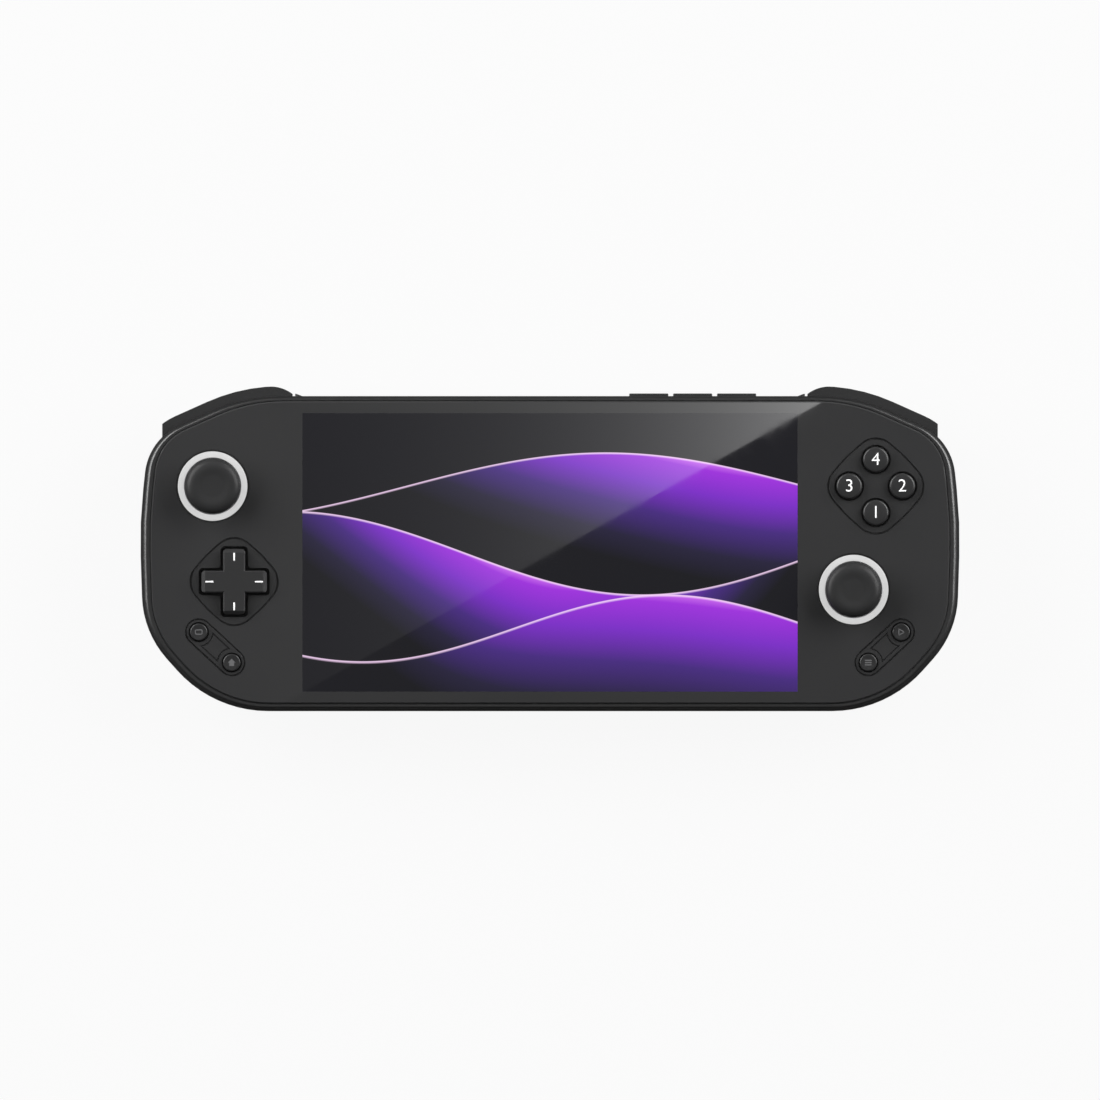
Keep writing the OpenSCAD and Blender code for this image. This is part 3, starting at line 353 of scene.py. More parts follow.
def plastic(name, level, roughness, grain=0.35 * MM, depth=0.006 * MM, edge_wear_and_highlight=1.25, sheen=0.5):
    """Moulded plastic: fine spark grain, slow change of sheen, sharp edges painted a little lighter,
    partly as rubbing and partly as a painted highlight.
    """
    material, tree, shader, place = finish(name, grey(level), roughness)
    shader.inputs["Specular IOR Level"].default_value = sheen
    fine = noise(tree, place, grain, 2.0)
    slow = noise(tree, place, SLOW_SIZE, 3.0)
    tone = blend_colours(tree, spread(tree, slow, 0, 1), grey(level * 0.94), grey(level * 1.06))
    # Sharp edges are painted lighter: partly rubbing, partly a painted highlight along the edges
    edge = tree.nodes.new("ShaderNodeNewGeometry").outputs["Pointiness"]
    sharp = spread(tree, edge, 0, 1, EDGE_LIGHT_START, EDGE_LIGHT_END)
    rubbed_and_highlit = calc(tree, "MULTIPLY", sharp, spread(tree, slow, 0.2, 0.8))
    tree.links.new(blend_colours(tree, rubbed_and_highlit, tone, grey(level * edge_wear_and_highlight)), shader.inputs["Base Color"])
    tree.links.new(spread(tree, fine, roughness * 0.88, roughness * 1.12), shader.inputs["Roughness"])
    raise_bump(tree, shader, fine, 0.35, depth)
    return material


def metal(name, level, roughness, grain=0.2 * MM):
    """Plated sheet metal with a rolled grain."""
    material, tree, shader, place = finish(name, grey(level), roughness, 1.0)
    turn = tree.nodes.new("ShaderNodeMapping")
    turn.inputs["Scale"].default_value = (0.08, 1, 1)
    tree.links.new(place, turn.inputs["Vector"])
    rolled = noise(tree, turn.outputs["Vector"], grain, 2.0)
    stain = noise(tree, place, STAIN_SIZE, 3.0)
    tree.links.new(blend_colours(tree, spread(tree, stain, 0, 1), grey(level * 0.88), grey(level)),
                   shader.inputs["Base Color"])
    tree.links.new(spread(tree, rolled, roughness * 0.8, roughness * 1.25), shader.inputs["Roughness"])
    raise_bump(tree, shader, rolled, 0.2, 0.003 * MM)
    return material


def tinted(name, colour, second, roughness, grain, depth):
    """Coloured surface with a fine grain and a second tone in soft patches."""
    material, tree, shader, place = finish(name, colour, roughness)
    fine = noise(tree, place, grain, 3.0)
    patch = noise(tree, place, PATCH_SIZE, 3.0)
    tone = blend_colours(tree, spread(tree, patch, 0, 1), colour, second)
    tree.links.new(tone, shader.inputs["Base Color"])
    tree.links.new(spread(tree, fine, roughness * 0.85, roughness * 1.15), shader.inputs["Roughness"])
    raise_bump(tree, shader, fine, 0.3, depth)
    return material


SHELL_FINISH = plastic("shell_plastic", 0.008, 0.35, sheen=0.7)
SHOULDER_FINISH = plastic("shoulder_plastic", 0.0135, 0.36, sheen=0.42)
CAP_FINISH = plastic("stick_rubber", 0.0185, 0.42, grain=0.25 * MM, depth=0.008 * MM, sheen=0.16)
PAD_FINISH = plastic("pad_plastic", 0.018, 0.34, sheen=0.35)
BUTTON_FINISH = plastic("button_plastic", 0.016, 0.32, sheen=0.35)
PLATE_FINISH = plastic("plate_plastic", 0.016, 0.32, sheen=0.4)
BLACK_FINISH = plastic("black_plastic", 0.008, 0.5)
MEMBRANE_FINISH = plastic("silicone", 0.12, 0.55)
WHITE_INK = tinted("white_ink", (0.85, 0.85, 0.85), (0.8, 0.8, 0.8), 0.5, 0.2 * MM, 0.002 * MM)
GREY_INK = tinted("grey_ink", (0.085, 0.085, 0.087), (0.075, 0.075, 0.077), 0.5,
                  0.2 * MM, 0.002 * MM)
STEEL_FINISH = metal("steel", 0.55, 0.3)
FRAME_FINISH = metal("frame_metal", 0.5, 0.38)
SOCKET_FINISH = metal("plated_socket", 0.6, 0.26)
BOARD_FINISH = tinted("solder_mask", (0.012, 0.07, 0.03), (0.01, 0.055, 0.025), 0.35,
                      0.3 * MM, 0.004 * MM)
FLEX_FINISH = tinted("flat_cable", (0.36, 0.2, 0.06), (0.32, 0.17, 0.05), 0.4, 0.3 * MM, 0.003 * MM)
BATTERY_FINISH = tinted("battery_wrap", (0.012, 0.012, 0.014), (0.018, 0.018, 0.02), 0.35,
                        0.8 * MM, 0.01 * MM)


def ring_finish():
    """Frosted light guide that glows from within; the glow is strong against a dark base, so it also
    paints the ring evenly pale over the shade that the cap casts on it.
    """
    material, tree, shader, place = finish("frosted_ring", (0.14, 0.14, 0.14), 0.42)
    shader.inputs["Specular IOR Level"].default_value = 0.2
    # Glow of the ring, set strong enough to paint over the cap's shade on it
    shader.inputs["Emission Color"].default_value = (1, 1, 1, 1)
    shader.inputs["Emission Strength"].default_value = 0.5
    fine = noise(tree, place, FROST_SIZE, 2.0)
    tree.links.new(spread(tree, fine, 0.36, 0.5), shader.inputs["Roughness"])
    cloud = noise(tree, place, CLOUD_SIZE, 2.0)
    tree.links.new(blend_colours(tree, spread(tree, cloud, 0, 1), (0.12, 0.12, 0.12), (0.14, 0.14, 0.14)),
                   shader.inputs["Base Color"])
    shader.inputs["Subsurface Weight"].default_value = 0.15
    shader.inputs["Subsurface Radius"].default_value = (MM, MM, MM)
    raise_bump(tree, shader, fine, 0.2, 0.004 * MM)
    return material


def panel_finish():
    """Glass printed dark from behind: polished, with faint wiping marks in its sheen."""
    material, tree, shader, place = finish("printed_glass", grey(0.0262), 0.02)
    cloud = noise(tree, place, TINT_SIZE, 2.0)
    tree.links.new(blend_colours(tree, spread(tree, cloud, 0, 1), grey(0.0255), grey(0.027)),
                   shader.inputs["Base Color"])
    wipe(tree, shader, place)
    return material


# Colours of the picture, from the crest of a wave down to the dark
CREST = (1.0, 0.72, 1.0)
NIGHT = (0.0015, 0.0013, 0.003)
WAVE_STOPS = (
    (0.0, (0.6, 0.14, 0.85)),
    (0.07, (0.33, 0.025, 0.7)),
    (0.28, (0.19, 0.02, 0.55)),
    (0.52, (0.055, 0.016, 0.2)),
    (0.78, (0.012, 0.008, 0.035)),
    (1.0, NIGHT))
# Edges of a crest's glow, as parts of the depth of a wave's colours
CREST_START = 0.006
CREST_FADE = 0.004
CREST_END = 0.022
# Each wave: height of its crest, swing, waves over the width, shift,
# depth of its colours, brightest place, fading
WAVES = (
    (0.24, 0.12, 0.62, 0.18, 0.42, 0.32, 2.6),
    (0.0, 0.15, 0.7, 0.62, 0.46, -0.06, 3.2),
    (-0.27, 0.12, 0.82, 0.06, 0.5, 0.3, 2.4))


def picture_finish():
    """Lit picture of rolling waves, each with a glowing crest, close under polished glass."""
    material, tree, shader, place = finish("lit_picture", (0.0106, 0.0106, 0.0116), 0.0)
    centre = (PICTURE_LOW + PICTURE_HIGH) / 2
    size = PICTURE_HIGH - PICTURE_LOW
    fit = tree.nodes.new("ShaderNodeMapping")
    fit.inputs["Location"].default_value = (-centre.x / size.x, -centre.y / size.y, 0)
    fit.inputs["Scale"].default_value = (1 / size.x, 1 / size.y, 1)
    tree.links.new(place, fit.inputs["Vector"])
    split = tree.nodes.new("ShaderNodeSeparateXYZ")
    tree.links.new(fit.outputs["Vector"], split.inputs["Vector"])
    across, up = split.outputs["X"], split.outputs["Y"]
    shown = NIGHT
    for crest, swing, count, shift, depth, bright, fading in WAVES:
        phase = calc(tree, "ADD", calc(tree, "MULTIPLY", across, 2 * pi * count), 2 * pi * shift)
        line = calc(tree, "ADD", calc(tree, "MULTIPLY", calc(tree, "SINE", phase), swing), crest)
        under = calc(tree, "DIVIDE", calc(tree, "SUBTRACT", line, up), depth)
        ramp = tree.nodes.new("ShaderNodeValToRGB")
        stops = ramp.color_ramp.elements
        while len(stops) < len(WAVE_STOPS):
            stops.new(1.0)
        for stop, (at, colour) in zip(stops, WAVE_STOPS):
            stop.position = at
            stop.color = (*colour, 1)
        aside = calc(tree, "POWER", calc(tree, "ABSOLUTE", calc(tree, "SUBTRACT", across, bright)), 2.0)
        tree.links.new(calc(tree, "ADD", under, calc(tree, "MULTIPLY", aside, fading)), ramp.inputs["Fac"])
        near = spread(tree, under, 1, 0, CREST_FADE, CREST_END)
        glowing = blend_colours(tree, near, ramp.outputs["Color"], CREST)
        shown = blend_colours(tree, spread(tree, under, 0, 1, 0.0, CREST_START), shown, glowing)
    inside_x = calc(tree, "LESS_THAN", calc(tree, "ABSOLUTE", across), 0.5)
    inside_y = calc(tree, "LESS_THAN", calc(tree, "ABSOLUTE", up), 0.5)
    lit = blend_colours(tree, calc(tree, "MULTIPLY", inside_x, inside_y), (0.0, 0.0, 0.0), shown)
    tree.links.new(lit, shader.inputs["Emission Color"])
    shader.inputs["Emission Strength"].default_value = 1.0
    wipe(tree, shader, place)
    return material


PANEL_FINISH = panel_finish()
RING_FINISH = ring_finish()
PICTURE_FINISH = picture_finish()


# Housing, glass and plates

FRONT_EDGE = 0.15 * MM
REAR_EDGE = 0.2 * MM
front = moulded("front_shell", "front_housing", FRONT_EDGE, 2)
hold(front, "console", "shell", SHELL_FINISH, "front_shell")
rear = moulded("rear_shell", "rear_housing", REAR_EDGE, 2)
hold(rear, "console", "shell", SHELL_FINISH, "rear_shell")

WINDOW_LOW = Vector((PICTURE_LOW.x, PICTURE_LOW.y, SEAT_Z - MM))
WINDOW_HIGH = Vector((PICTURE_HIGH.x, PICTURE_HIGH.y, FACE_Z + MM))
cover_panel = copied("cover_glass", "cover_panel")
carve(cover_panel, block("window_cut", WINDOW_LOW, WINDOW_HIGH))
smooth(cover_panel, 20)
hold(cover_panel, "console", "cover_glass", PANEL_FINISH, "cover_glass")
screen_window = copied("cover_glass", "screen_window")
carve(screen_window, block("window_keep", WINDOW_LOW, WINDOW_HIGH), "INTERSECT")
hold(screen_window, "console", "cover_glass", PICTURE_FINISH, "cover_glass")

PLATE_EDGE = 0.05 * MM
# Room that leaves a dark line round the plates of the pad and of the face buttons
PLATE_ROOM = 0.1 * MM
PAD_SPOT = middle("cross_pad")
PAD_LOW, PAD_TOP = (corner.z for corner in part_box("cross_pad"))
PAD_SPAN = 16.1 * MM
PAD_ARM = 5.4 * MM
PAD_GAP = 0.65 * MM
PAD_CORNER = 0.95 * MM
SINK = 0.02 * MM


def cross(name, room, low, high):
    """Upright cross with rounded corners round the middle of the pad, larger than the pad by a room."""
    tip = PAD_SPAN / 2 + room
    side = PAD_ARM / 2 + room
    quarter = ((tip, -side), (tip, side), (side, side))
    corners = []
    for turn in range(4):
        corners += [PAD_SPOT + Vector((x, y, low)) for x, y in quarter]
        quarter = [(-y, x) for x, y in quarter]
    outline(name, corners, PAD_CORNER)
    return thickened(high - low)


def slimmed(piece, room):
    """Draws all faces of a piece in a little."""
    edit(piece)
    bpy.ops.transform.shrink_fatten(value=-room, use_even_offset=True)
    return leave()


def round_hole(plate):
    """Fills the hole for the pad and cuts it again with rounded corners."""
    reach = PAD_GAP + PLATE_ROOM + SINK
    low = Vector((0, 0, SEAT_Z + PLATE_ROOM + SINK))
    high = Vector((0, 0, PLATE_Z - PLATE_ROOM - SINK))
    for length, width in ((PAD_SPAN, PAD_ARM), (PAD_ARM, PAD_SPAN)):
        half = Vector((length / 2 + reach, width / 2 + reach, 0))
        carve(plate, block("hole_fill", PAD_SPOT - half + low, PAD_SPOT + half + high), "UNION")
    carve(plate, cross("pad_hole", PAD_GAP, SEAT_Z - MM, FACE_Z + MM))


for plate in ("pad_surround", "face_surround", "left_pill_plate", "right_pill_plate"):
    piece = copied(plate, plate + "_trim")
    if plate.endswith("surround"):
        slimmed(piece, PLATE_ROOM)
    if plate == "pad_surround":
        round_hole(piece)
    hold(softened(piece, PLATE_EDGE, 2, 40), "console", "panel", PLATE_FINISH, plate)


# Sticks: light ring and cap

PIVOT_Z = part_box("left_inner_yoke")[0].z + 2.0 * MM
RING_OUT = radius_of("left_light_ring")
RING_SEEN = RING_OUT - 0.05 * MM
RING_IN = RING_OUT - 1.56 * MM
RING_EDGE = 0.18 * MM
RING_PROFILE = (
    [(RING_IN, SEAT_Z), (RING_SEEN, SEAT_Z)]
    + arc((RING_SEEN - RING_EDGE, FACE_Z - RING_EDGE), RING_EDGE, 90, 0, 4)
    + arc((RING_IN + RING_EDGE, FACE_Z - RING_EDGE), RING_EDGE, 0, -90, 4)
    + [(RING_IN, SEAT_Z)])

CAP_R = radius_of("left_cap") - 0.1 * MM
CAP_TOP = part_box("left_cap")[1].z
CAP_LOW = CAP_TOP - 2.2 * MM
SHAFT_R = 1.5 * MM
SHAFT_TOP = CAP_LOW + 0.4 * MM
NECK_R = 2.7 * MM
NECK_OUT = NECK_R + 0.3 * MM
DOME_R = 6.0 * MM
DOME_IN = DOME_R - 0.8 * MM
DOME_EDGE = 50
DISH_IN = 2.4 * MM
DISH_DEEP = 0.18 * MM
DISH_STEPS = 16
BROW = 2.3 * MM
BROW_TALL = 1.68 * MM
HEM = 0.5 * MM


def dish(k):
    """Point of the dish from its flat middle to the brow."""
    part = k / DISH_STEPS
    reach = DISH_IN + (CAP_R - BROW - DISH_IN) * part
    return reach, CAP_TOP - DISH_DEEP * (1 + cos(pi * part)) / 2


def brow(angle):
    """Point of the rounded brow, by its angle from the crest."""
    turn = radians(angle)
    return CAP_R - BROW * (1 - sin(turn)), CAP_TOP - BROW_TALL * (1 - cos(turn))


CAP_PROFILE = (
    [(SHAFT_R, SHAFT_TOP), (0, SHAFT_TOP), (0, CAP_TOP - DISH_DEEP)]
    + [dish(k) for k in range(DISH_STEPS)]
    + [brow(angle) for angle in range(0, 91, 9)]
    + arc((CAP_R - HEM, CAP_LOW + HEM), HEM, 90, 180, 5)
    + [(NECK_OUT, CAP_LOW)]
    + arc((0, PIVOT_Z), DOME_R, asin(NECK_R / DOME_R) * 180 / pi, DOME_EDGE, 8)
    + arc((0, PIVOT_Z), DOME_IN, DOME_EDGE, asin(SHAFT_R / DOME_IN) * 180 / pi, 8)
    + [(SHAFT_R, SHAFT_TOP)])

for side in ("left", "right"):
    spot = middle(side + "_light_ring")
    ring = turned(side + "_glow_ring", spot, RING_PROFILE, 128)
    hold(ring, "console", "diffuser", RING_FINISH, side + "_light_ring")
    cap = turned(side + "_thumb_cap", spot, CAP_PROFILE, 96)
    hold(cap, side + "_stick", "stick_plastic", CAP_FINISH, side + "_cap")


# Cross pad with its four marks

PAD_FLANGE_TOP = PAD_LOW + 2.75 * MM
PAD_OUT = Vector((PAD_SPAN, PAD_SPAN, 0))
PAD_EDGE = 0.2 * MM
mould = block("pad_mould", PAD_SPOT - PAD_OUT + Vector((0, 0, PAD_FLANGE_TOP)),
              PAD_SPOT + PAD_OUT + Vector((0, 0, PAD_TOP + MM)))
carve(mould, cross("pad_form", SINK, PAD_FLANGE_TOP - MM, PAD_TOP + 2 * MM))
pad_top = copied("cross_pad", "cross_pad_top")
carve(pad_top, mould)
hold(softened(pad_top, PAD_EDGE, 4, 25), "cross_pad", "stick_plastic", PAD_FINISH, "cross_pad")
MARK_REACH = 6.1 * MM
MARK_SIZE = Vector((1.95 * MM, 0.38 * MM, 0.06 * MM))
MARK_EDGE = 0.04 * MM
PAD_WAYS = {
    "up": Vector((0, 1, 0)), "down": Vector((0, -1, 0)),
    "left": Vector((-1, 0, 0)), "right": Vector((1, 0, 0))}


def mark(name, direction):
    """A printed bar along an arm of the pad."""
    along = Vector((abs(direction.x), abs(direction.y), 0))
    half = (along * MARK_SIZE.x + Vector((along.y, along.x, 0)) * MARK_SIZE.y) / 2
    spot = PAD_SPOT + direction * MARK_REACH + Vector((0, 0, PAD_TOP))
    lift = Vector((0, 0, MARK_SIZE.z / 2))
    piece = block(name, spot - half - lift, spot + half + lift)
    softened(piece, MARK_EDGE, 2)
    hold(piece, "cross_pad", "stick_plastic", WHITE_INK)


for name, direction in PAD_WAYS.items():
    mark("pad_mark_" + name, direction)


# Face buttons with plain numbers

FACE_R = 3.17 * MM
FACE_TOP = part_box("face_button_top")[1].z
FACE_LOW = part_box("face_button_top")[0].z
FLANGE_R = radius_of("face_button_top")
FLANGE_TOP = FACE_LOW + MM
FACE_EDGE = 0.55 * MM
# Fall of the crown at its edge and part of the way out
CROWN_FALL = 0.12 * MM
CROWN_PART = 0.45
CROWN_PART_FALL = 0.03 * MM
FACE_PROFILE = (
    [(0, FACE_LOW), (FLANGE_R, FACE_LOW), (FLANGE_R, FLANGE_TOP), (FACE_R, FLANGE_TOP)]
    + arc((FACE_R - FACE_EDGE, FACE_TOP - FACE_EDGE - CROWN_FALL), FACE_EDGE, 90, 8, 6)
    + [(FACE_R * CROWN_PART, FACE_TOP - CROWN_PART_FALL), (0, FACE_TOP)])
NUMBER_SIZE = 4.4 * MM
NUMBER_THIN = 0.03 * MM
NUMBER_THICK = 0.03 * MM


def number(name, digit, spot, top):
    """A printed numeral, as thick as its ink."""
    bpy.ops.object.select_all(action="DESELECT")
    bpy.ops.object.text_add(location=(spot.x, spot.y, top))
    label = bpy.context.active_object
    label.data.body = digit
    label.data.size = NUMBER_SIZE
    label.data.align_x = "CENTER"
    label.data.align_y = "CENTER"
    label.data.extrude = NUMBER_THICK
    label.data.offset = -NUMBER_THIN
    bpy.ops.object.convert(target="MESH")
    piece = rename(bpy.context.active_object, name)
    settle(piece)
    edit(piece)
    bpy.ops.mesh.remove_doubles(threshold=WELD)
    return leave()


for digit, side in (("1", "bottom"), ("2", "right"), ("3", "left"), ("4", "top")):
    node = "face_button_" + side
    spot = middle(node)
    button = turned(node + "_key", spot, FACE_PROFILE, 72)
    hold(button, node, "button_plastic", BUTTON_FINISH, node)
    hold(number(node + "_number", digit, spot, FACE_TOP), node, "button_plastic", WHITE_INK)


# Function buttons

FUNC_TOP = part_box("home_button")[1].z
FUNC_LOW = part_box("home_button")[0].z
FUNC_FLANGE_R = radius_of("home_button")
FUNC_R = FUNC_FLANGE_R - 0.6 * MM
FUNC_EDGE = 0.32 * MM
STEM_R = 1.2 * MM
# Shallow dish in the top: its depth in the middle, how far in its slope ends, and the depth there
FUNC_DISH = 0.12 * MM
FUNC_LIP = 0.75 * MM
FUNC_LIP_DEEP = 0.1 * MM
FUNC_PROFILE = (
    [(0, FUNC_LOW), (STEM_R, FUNC_LOW), (STEM_R, FACE_LOW), (FUNC_FLANGE_R, FACE_LOW),
     (FUNC_FLANGE_R, FLANGE_TOP), (FUNC_R, FLANGE_TOP)]
    + arc((FUNC_R - FUNC_EDGE, FUNC_TOP - FUNC_EDGE), FUNC_EDGE, 90, 0, 5)
    + [(FUNC_R - FUNC_LIP, FUNC_TOP - FUNC_LIP_DEEP), (0, FUNC_TOP - FUNC_DISH)])

SIGN_Z = FUNC_TOP - FUNC_DISH
SIGN_THICK = 0.05 * MM
STROKE = 0.24 * MM
HOUSE = ((-0.6, -0.85), (0.6, -0.85), (0.6, 0.0), (0.95, 0.0), (0.0, 0.95), (-0.95, 0.0), (-0.6, 0.0))
WEDGE = ((-0.7, -0.95), (1.05, 0.0), (-0.7, 0.95))


def oblong(width, height, up=0.0):
    """Corners of an upright rectangle."""
    x, y = width / 2, height / 2
    return ((-x, up - y), (x, up - y), (x, up + y), (-x, up + y))


def sign(name, node, points, rounding, outlined):
    """A printed sign on a button, filled or as an outline; its points are in millimetres."""
    spot = middle(node) + Vector((0, 0, SIGN_Z))
    outline(name, [spot + Vector((x * MM, y * MM, 0)) for x, y in points], rounding * MM)
    if outlined:
        bpy.ops.mesh.select_all(action="SELECT")
        bpy.ops.mesh.inset(thickness=STROKE)
        bpy.ops.mesh.delete(type="FACE")
    hold(thickened(SIGN_THICK), node, "button_plastic", GREY_INK)


for node in ("select_button", "home_button", "start_button", "menu_button"):
    button = turned(node + "_key", middle(node), FUNC_PROFILE, 64)
    hold(button, node, "button_plastic", BUTTON_FINISH, node)
sign("select_button_sign", "select_button", oblong(1.9, 1.3), 0.4, True)
sign("home_button_sign", "home_button", HOUSE, 0.08, False)
sign("start_button_sign", "start_button", WEDGE, 0.15, True)
for row in (-1, 0, 1):
    sign(f"menu_button_sign_{row + 2}", "menu_button", oblong(1.7, 0.3, row * 0.55), 0.1, False)


# Shoulder buttons and top edge buttons

BUMPER_EDGE = 0.55 * MM
TRIGGER_EDGE = 0.45 * MM
TRIGGER_CORNER = 3.0 * MM
TRIGGER_DEPTH = 40 * MM
KEY_EDGE = 0.3 * MM

for side in ("left", "right"):
    bumper = moulded(side + "_bumper", side + "_bumper_key", BUMPER_EDGE, 4, 40)
    hold(bumper, side + "_bumper", "shoulder_plastic", SHOULDER_FINISH, side + "_bumper")
    trigger = copied(side + "_trigger", side + "_trigger_key")
    corners_rounded(trigger, TRIGGER_CORNER, TRIGGER_DEPTH)
    softened(trigger, TRIGGER_EDGE, 4, 40)
    hold(trigger, side + "_trigger", "shoulder_plastic", SHOULDER_FINISH, side + "_trigger")
for key in ("volume_down_button", "volume_up_button", "power_button"):
    hold(moulded(key, key + "_key", KEY_EDGE, 4, 40), key, "button_plastic", BUTTON_FINISH, key)


# Rubber membranes: a sheet each, with domes under the buttons

SHEET_T = 0.52 * MM
DOME_BASE_R = 2.4 * MM
DOME_TOP_R = 1.25 * MM
DOME_WAIST_R = DOME_TOP_R + 0.35 * MM
CROWN_TALL = 0.6 * MM
CROWN_FOOT = 0.2 * MM
CROWN_EDGE = 0.1 * MM
ROCK_ROOM = 0.1 * MM
DOME_REACH = 6.3 * MM


def rubber_dome(name, spot, low, top):
    """A dome with a flat crown."""
    brim = low + SHEET_T
    waist = top - CROWN_TALL
    profile = [(0, low), (DOME_BASE_R, low), (DOME_BASE_R, brim), (DOME_WAIST_R, waist),
               (DOME_TOP_R, waist + CROWN_FOOT), (DOME_TOP_R, top - CROWN_EDGE),
               (DOME_TOP_R - CROWN_EDGE, top), (0, top)]
    dome = turned(name, spot, profile, 32)
    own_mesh(dome)
    return dome


face_low, face_top = (corner.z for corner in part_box("face_membrane"))
sheet = levelled("face_membrane", "face_membrane_sheet", face_low + SHEET_T)
hold(sheet, "console", "membrane", MEMBRANE_FINISH, "face_membrane")
for side in ("top", "left", "right", "bottom"):
    dome = rubber_dome("face_dome_" + side, middle("face_button_" + side), face_low, face_top)
    hold(dome, "console", "membrane", MEMBRANE_FINISH, "face_membrane")

pad_low, pad_high = (corner.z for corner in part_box("pad_membrane"))
sheet = levelled("pad_membrane", "pad_membrane_sheet", pad_low + SHEET_T)
hold(sheet, "console", "membrane", MEMBRANE_FINISH, "pad_membrane")
for name, direction in PAD_WAYS.items():
    dome = rubber_dome("pad_dome_" + name, PAD_SPOT + direction * DOME_REACH, pad_low,
                       pad_high - ROCK_ROOM)
    hold(dome, "console", "membrane", MEMBRANE_FINISH, "pad_membrane")

cradle = levelled("pad_cradle", "pad_cradle_frame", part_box("pad_cradle")[1].z - ROCK_ROOM)
hold(cradle, "console", "black_plastic", BLACK_FINISH, "pad_cradle")


# Finishes of the solids that stay as they are

NODE_FINISHES = {
    "display": PICTURE_FINISH,
    "display_frame": FRAME_FINISH, "heat_spreader": FRAME_FINISH,
    "left_stick_housing": FRAME_FINISH, "right_stick_housing": FRAME_FINISH,
    "main_board": BOARD_FINISH, "socket_board": BOARD_FINISH,
    "left_control_board": BOARD_FINISH, "right_control_board": BOARD_FINISH,
    "battery": BATTERY_FINISH,
    "usb_socket": SOCKET_FINISH, "card_socket": SOCKET_FINISH,
    "headphone_socket": BLACK_FINISH, "left_speaker": BLACK_FINISH, "right_speaker": BLACK_FINISH,
    "pad_spider": STEEL_FINISH,
    "trigger_pins": STEEL_FINISH, "trigger_springs": STEEL_FINISH,
    "case_screws": STEEL_FINISH, "board_screws": STEEL_FINISH,
    "left_flex": FLEX_FINISH, "right_flex": FLEX_FINISH,
    "left_outer_yoke": BLACK_FINISH, "right_outer_yoke": BLACK_FINISH,
    "left_inner_yoke": BLACK_FINISH, "right_inner_yoke": BLACK_FINISH,
    "left_shaft": STEEL_FINISH, "right_shaft": STEEL_FINISH}
for node, material in NODE_FINISHES.items():
    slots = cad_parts[node].data.materials
    slots.clear()
    slots.append(material)


# Stage: floor, glare card, lamps, world and camera

scene = bpy.context.scene
scene.view_settings.view_transform = "Standard"
VIEW_WIDTH = 270.6 * MM
VIEW_CENTRE = Vector((0, -0.29 * MM, 0))
CAMERA_Z = 0.9
BACKGROUND = 0.952

FLOOR_SIZE = 6
FLOOR_DROP = 0.1 * MM
PAPER = (0.9, 0.9, 0.9)
MAT = (0.04, 0.04, 0.04)
PAPER_GLOW = 0.97
# Reach round the object in which a dark mat, which the camera doesn't see, lies on the floor
NEAR = 0.25
FAR = 0.5


def paper_floor():
    """White floor that glows evenly to the camera and takes faint shadows."""
    floor = square("floor", FLOOR_SIZE, (0, 0, -FLOOR_DROP))
    paper, tree, shader, place = finish("paper", PAPER, 0.9)
    glow = tree.nodes.new("ShaderNodeEmission")
    glow.inputs["Color"].default_value = (BACKGROUND, BACKGROUND, BACKGROUND, 1)
    rays = tree.nodes.new("ShaderNodeLightPath").outputs
    reach = tree.nodes.new("ShaderNodeVectorMath")
    reach.operation = "LENGTH"
    tree.links.new(place, reach.inputs[0])
    far = spread(tree, reach.outputs["Value"], 0, 1, NEAR, FAR)
    mirrored = calc(tree, "MAXIMUM", rays["Is Glossy Ray"], rays["Is Transmission Ray"])
    seen = calc(tree, "MAXIMUM", rays["Is Camera Ray"], calc(tree, "MULTIPLY", mirrored, far))
    ground = calc(tree, "MAXIMUM", rays["Is Camera Ray"], far)
    tree.links.new(blend_colours(tree, ground, MAT, PAPER), shader.inputs["Base Color"])
    both = tree.nodes.new("ShaderNodeMixShader")
    tree.links.new(calc(tree, "MULTIPLY", seen, PAPER_GLOW), both.inputs["Fac"])
    tree.links.new(shader.outputs["BSDF"], both.inputs[1])
    tree.links.new(glow.outputs["Emission"], both.inputs[2])
    tree.links.new(both.outputs["Shader"], tree.nodes["Material Output"].inputs["Surface"])
    floor.data.materials.append(paper)


# Line on the glass along which the glare ends
GLARE_START = Vector((-65.7 * MM, -38.0 * MM, 0))
GLARE_END = Vector((67.1 * MM, 36.2 * MM, 0))
GLARE_TOP = 5.1
GLARE_FALL = 34 * MM
GLARE_BLUR = 0.1 * MM
CARD_Z = 3.0
CARD_SIZE = 0.26


def glare_card():
    """Card over the camera that only reflections show, lit on one side of the line of the glare."""
    card = square("glare_card", CARD_SIZE, (0, 0, CARD_Z))
    light, tree, shader, place = finish("glare_light", (0, 0, 0), 1.0)
    tree.nodes.remove(shader)
    split = tree.nodes.new("ShaderNodeSeparateXYZ")
    tree.links.new(place, split.inputs["Vector"])
    across, up = split.outputs["X"], split.outputs["Y"]
    along = (GLARE_END - GLARE_START).normalized()
    off_x = calc(tree, "MULTIPLY", calc(tree, "SUBTRACT", across, GLARE_START.x), -along.y)
    off_y = calc(tree, "MULTIPLY", calc(tree, "SUBTRACT", up, GLARE_START.y), along.x)
    above = spread(tree, calc(tree, "ADD", off_x, off_y), 0, 1, -GLARE_BLUR, GLARE_BLUR)
    fade = calc(tree, "DIVIDE", calc(tree, "SUBTRACT", across, GLARE_END.x), GLARE_FALL)
    power = calc(tree, "MULTIPLY", calc(tree, "EXPONENT", fade), GLARE_TOP)
    shine = tree.nodes.new("ShaderNodeEmission")
    tree.links.new(calc(tree, "MULTIPLY", power, above), shine.inputs["Strength"])
    tree.links.new(shine.outputs["Emission"], tree.nodes["Material Output"].inputs["Surface"])
    card.data.materials.append(light)
    card.visible_camera = False
    card.visible_diffuse = False
    card.visible_transmission = False
    card.visible_shadow = False


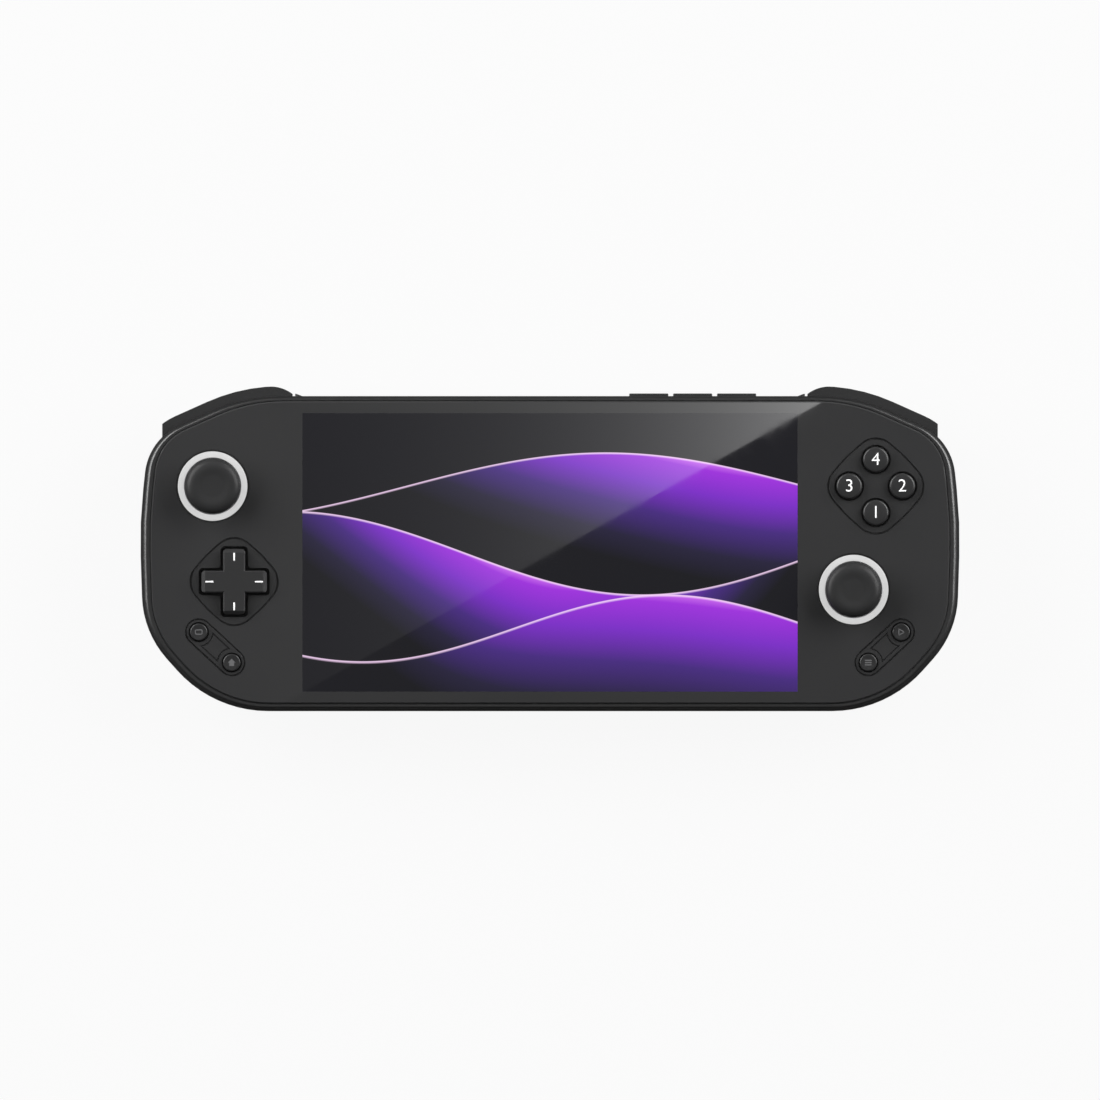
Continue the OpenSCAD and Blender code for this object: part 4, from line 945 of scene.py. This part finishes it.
SOFTBOX_WIDE = 1.0
SOFTBOX_TALL = 0.6
SOFTBOX_POWER = 17.8
SOFTBOX_PLACES = {"left_softbox": (-0.8, 0.42, 0.5), "right_softbox": (0.8, 0.42, 0.5)}


def softbox(name, place):
    """Wide lamp that looks at the object."""
    lamp_data = bpy.data.lights.new(name, "AREA")
    lamp_data.shape = "RECTANGLE"
    lamp_data.size = SOFTBOX_WIDE
    lamp_data.size_y = SOFTBOX_TALL
    lamp_data.energy = SOFTBOX_POWER
    lamp = bpy.data.objects.new(name, lamp_data)
    scene.collection.objects.link(lamp)
    lamp.location = place
    lamp.rotation_euler = (-Vector(place)).to_track_quat("-Z", "Y").to_euler()


# Light of the sky from below the object to above it, as the camera sees the object
SKY_LOW = 0.02
SKY_HIGH = 0.34
SKY_START = -0.6
SKY_END = 0.25


def studio_world():
    """Sky that is lighter towards the top of the picture, and even where the camera sees it."""
    world = bpy.data.worlds.new("studio")
    scene.world = world
    world.use_nodes = True
    tree = world.node_tree
    sky = tree.nodes["Background"]
    sky.inputs["Color"].default_value = (1, 1, 1, 1)
    towards = tree.nodes.new("ShaderNodeSeparateXYZ")
    tree.links.new(tree.nodes.new("ShaderNodeTexCoord").outputs["Generated"], towards.inputs["Vector"])
    dusk = spread(tree, towards.outputs["Y"], SKY_LOW, SKY_HIGH, SKY_START, SKY_END)
    seen = tree.nodes.new("ShaderNodeLightPath").outputs["Is Camera Ray"]
    strength = calc(tree, "MAXIMUM", dusk, calc(tree, "MULTIPLY", seen, BACKGROUND))
    tree.links.new(strength, sky.inputs["Strength"])


def straight_camera():
    """Camera that looks straight down on the face, without perspective."""
    camera_data = bpy.data.cameras.new("camera")
    camera_data.type = "ORTHO"
    camera_data.ortho_scale = VIEW_WIDTH
    camera_data.clip_start = MM
    camera = bpy.data.objects.new("camera", camera_data)
    scene.collection.objects.link(camera)
    camera.location = VIEW_CENTRE + Vector((0, 0, CAMERA_Z))
    scene.camera = camera


paper_floor()
glare_card()
for name, place in SOFTBOX_PLACES.items():
    softbox(name, place)
studio_world()
straight_camera()
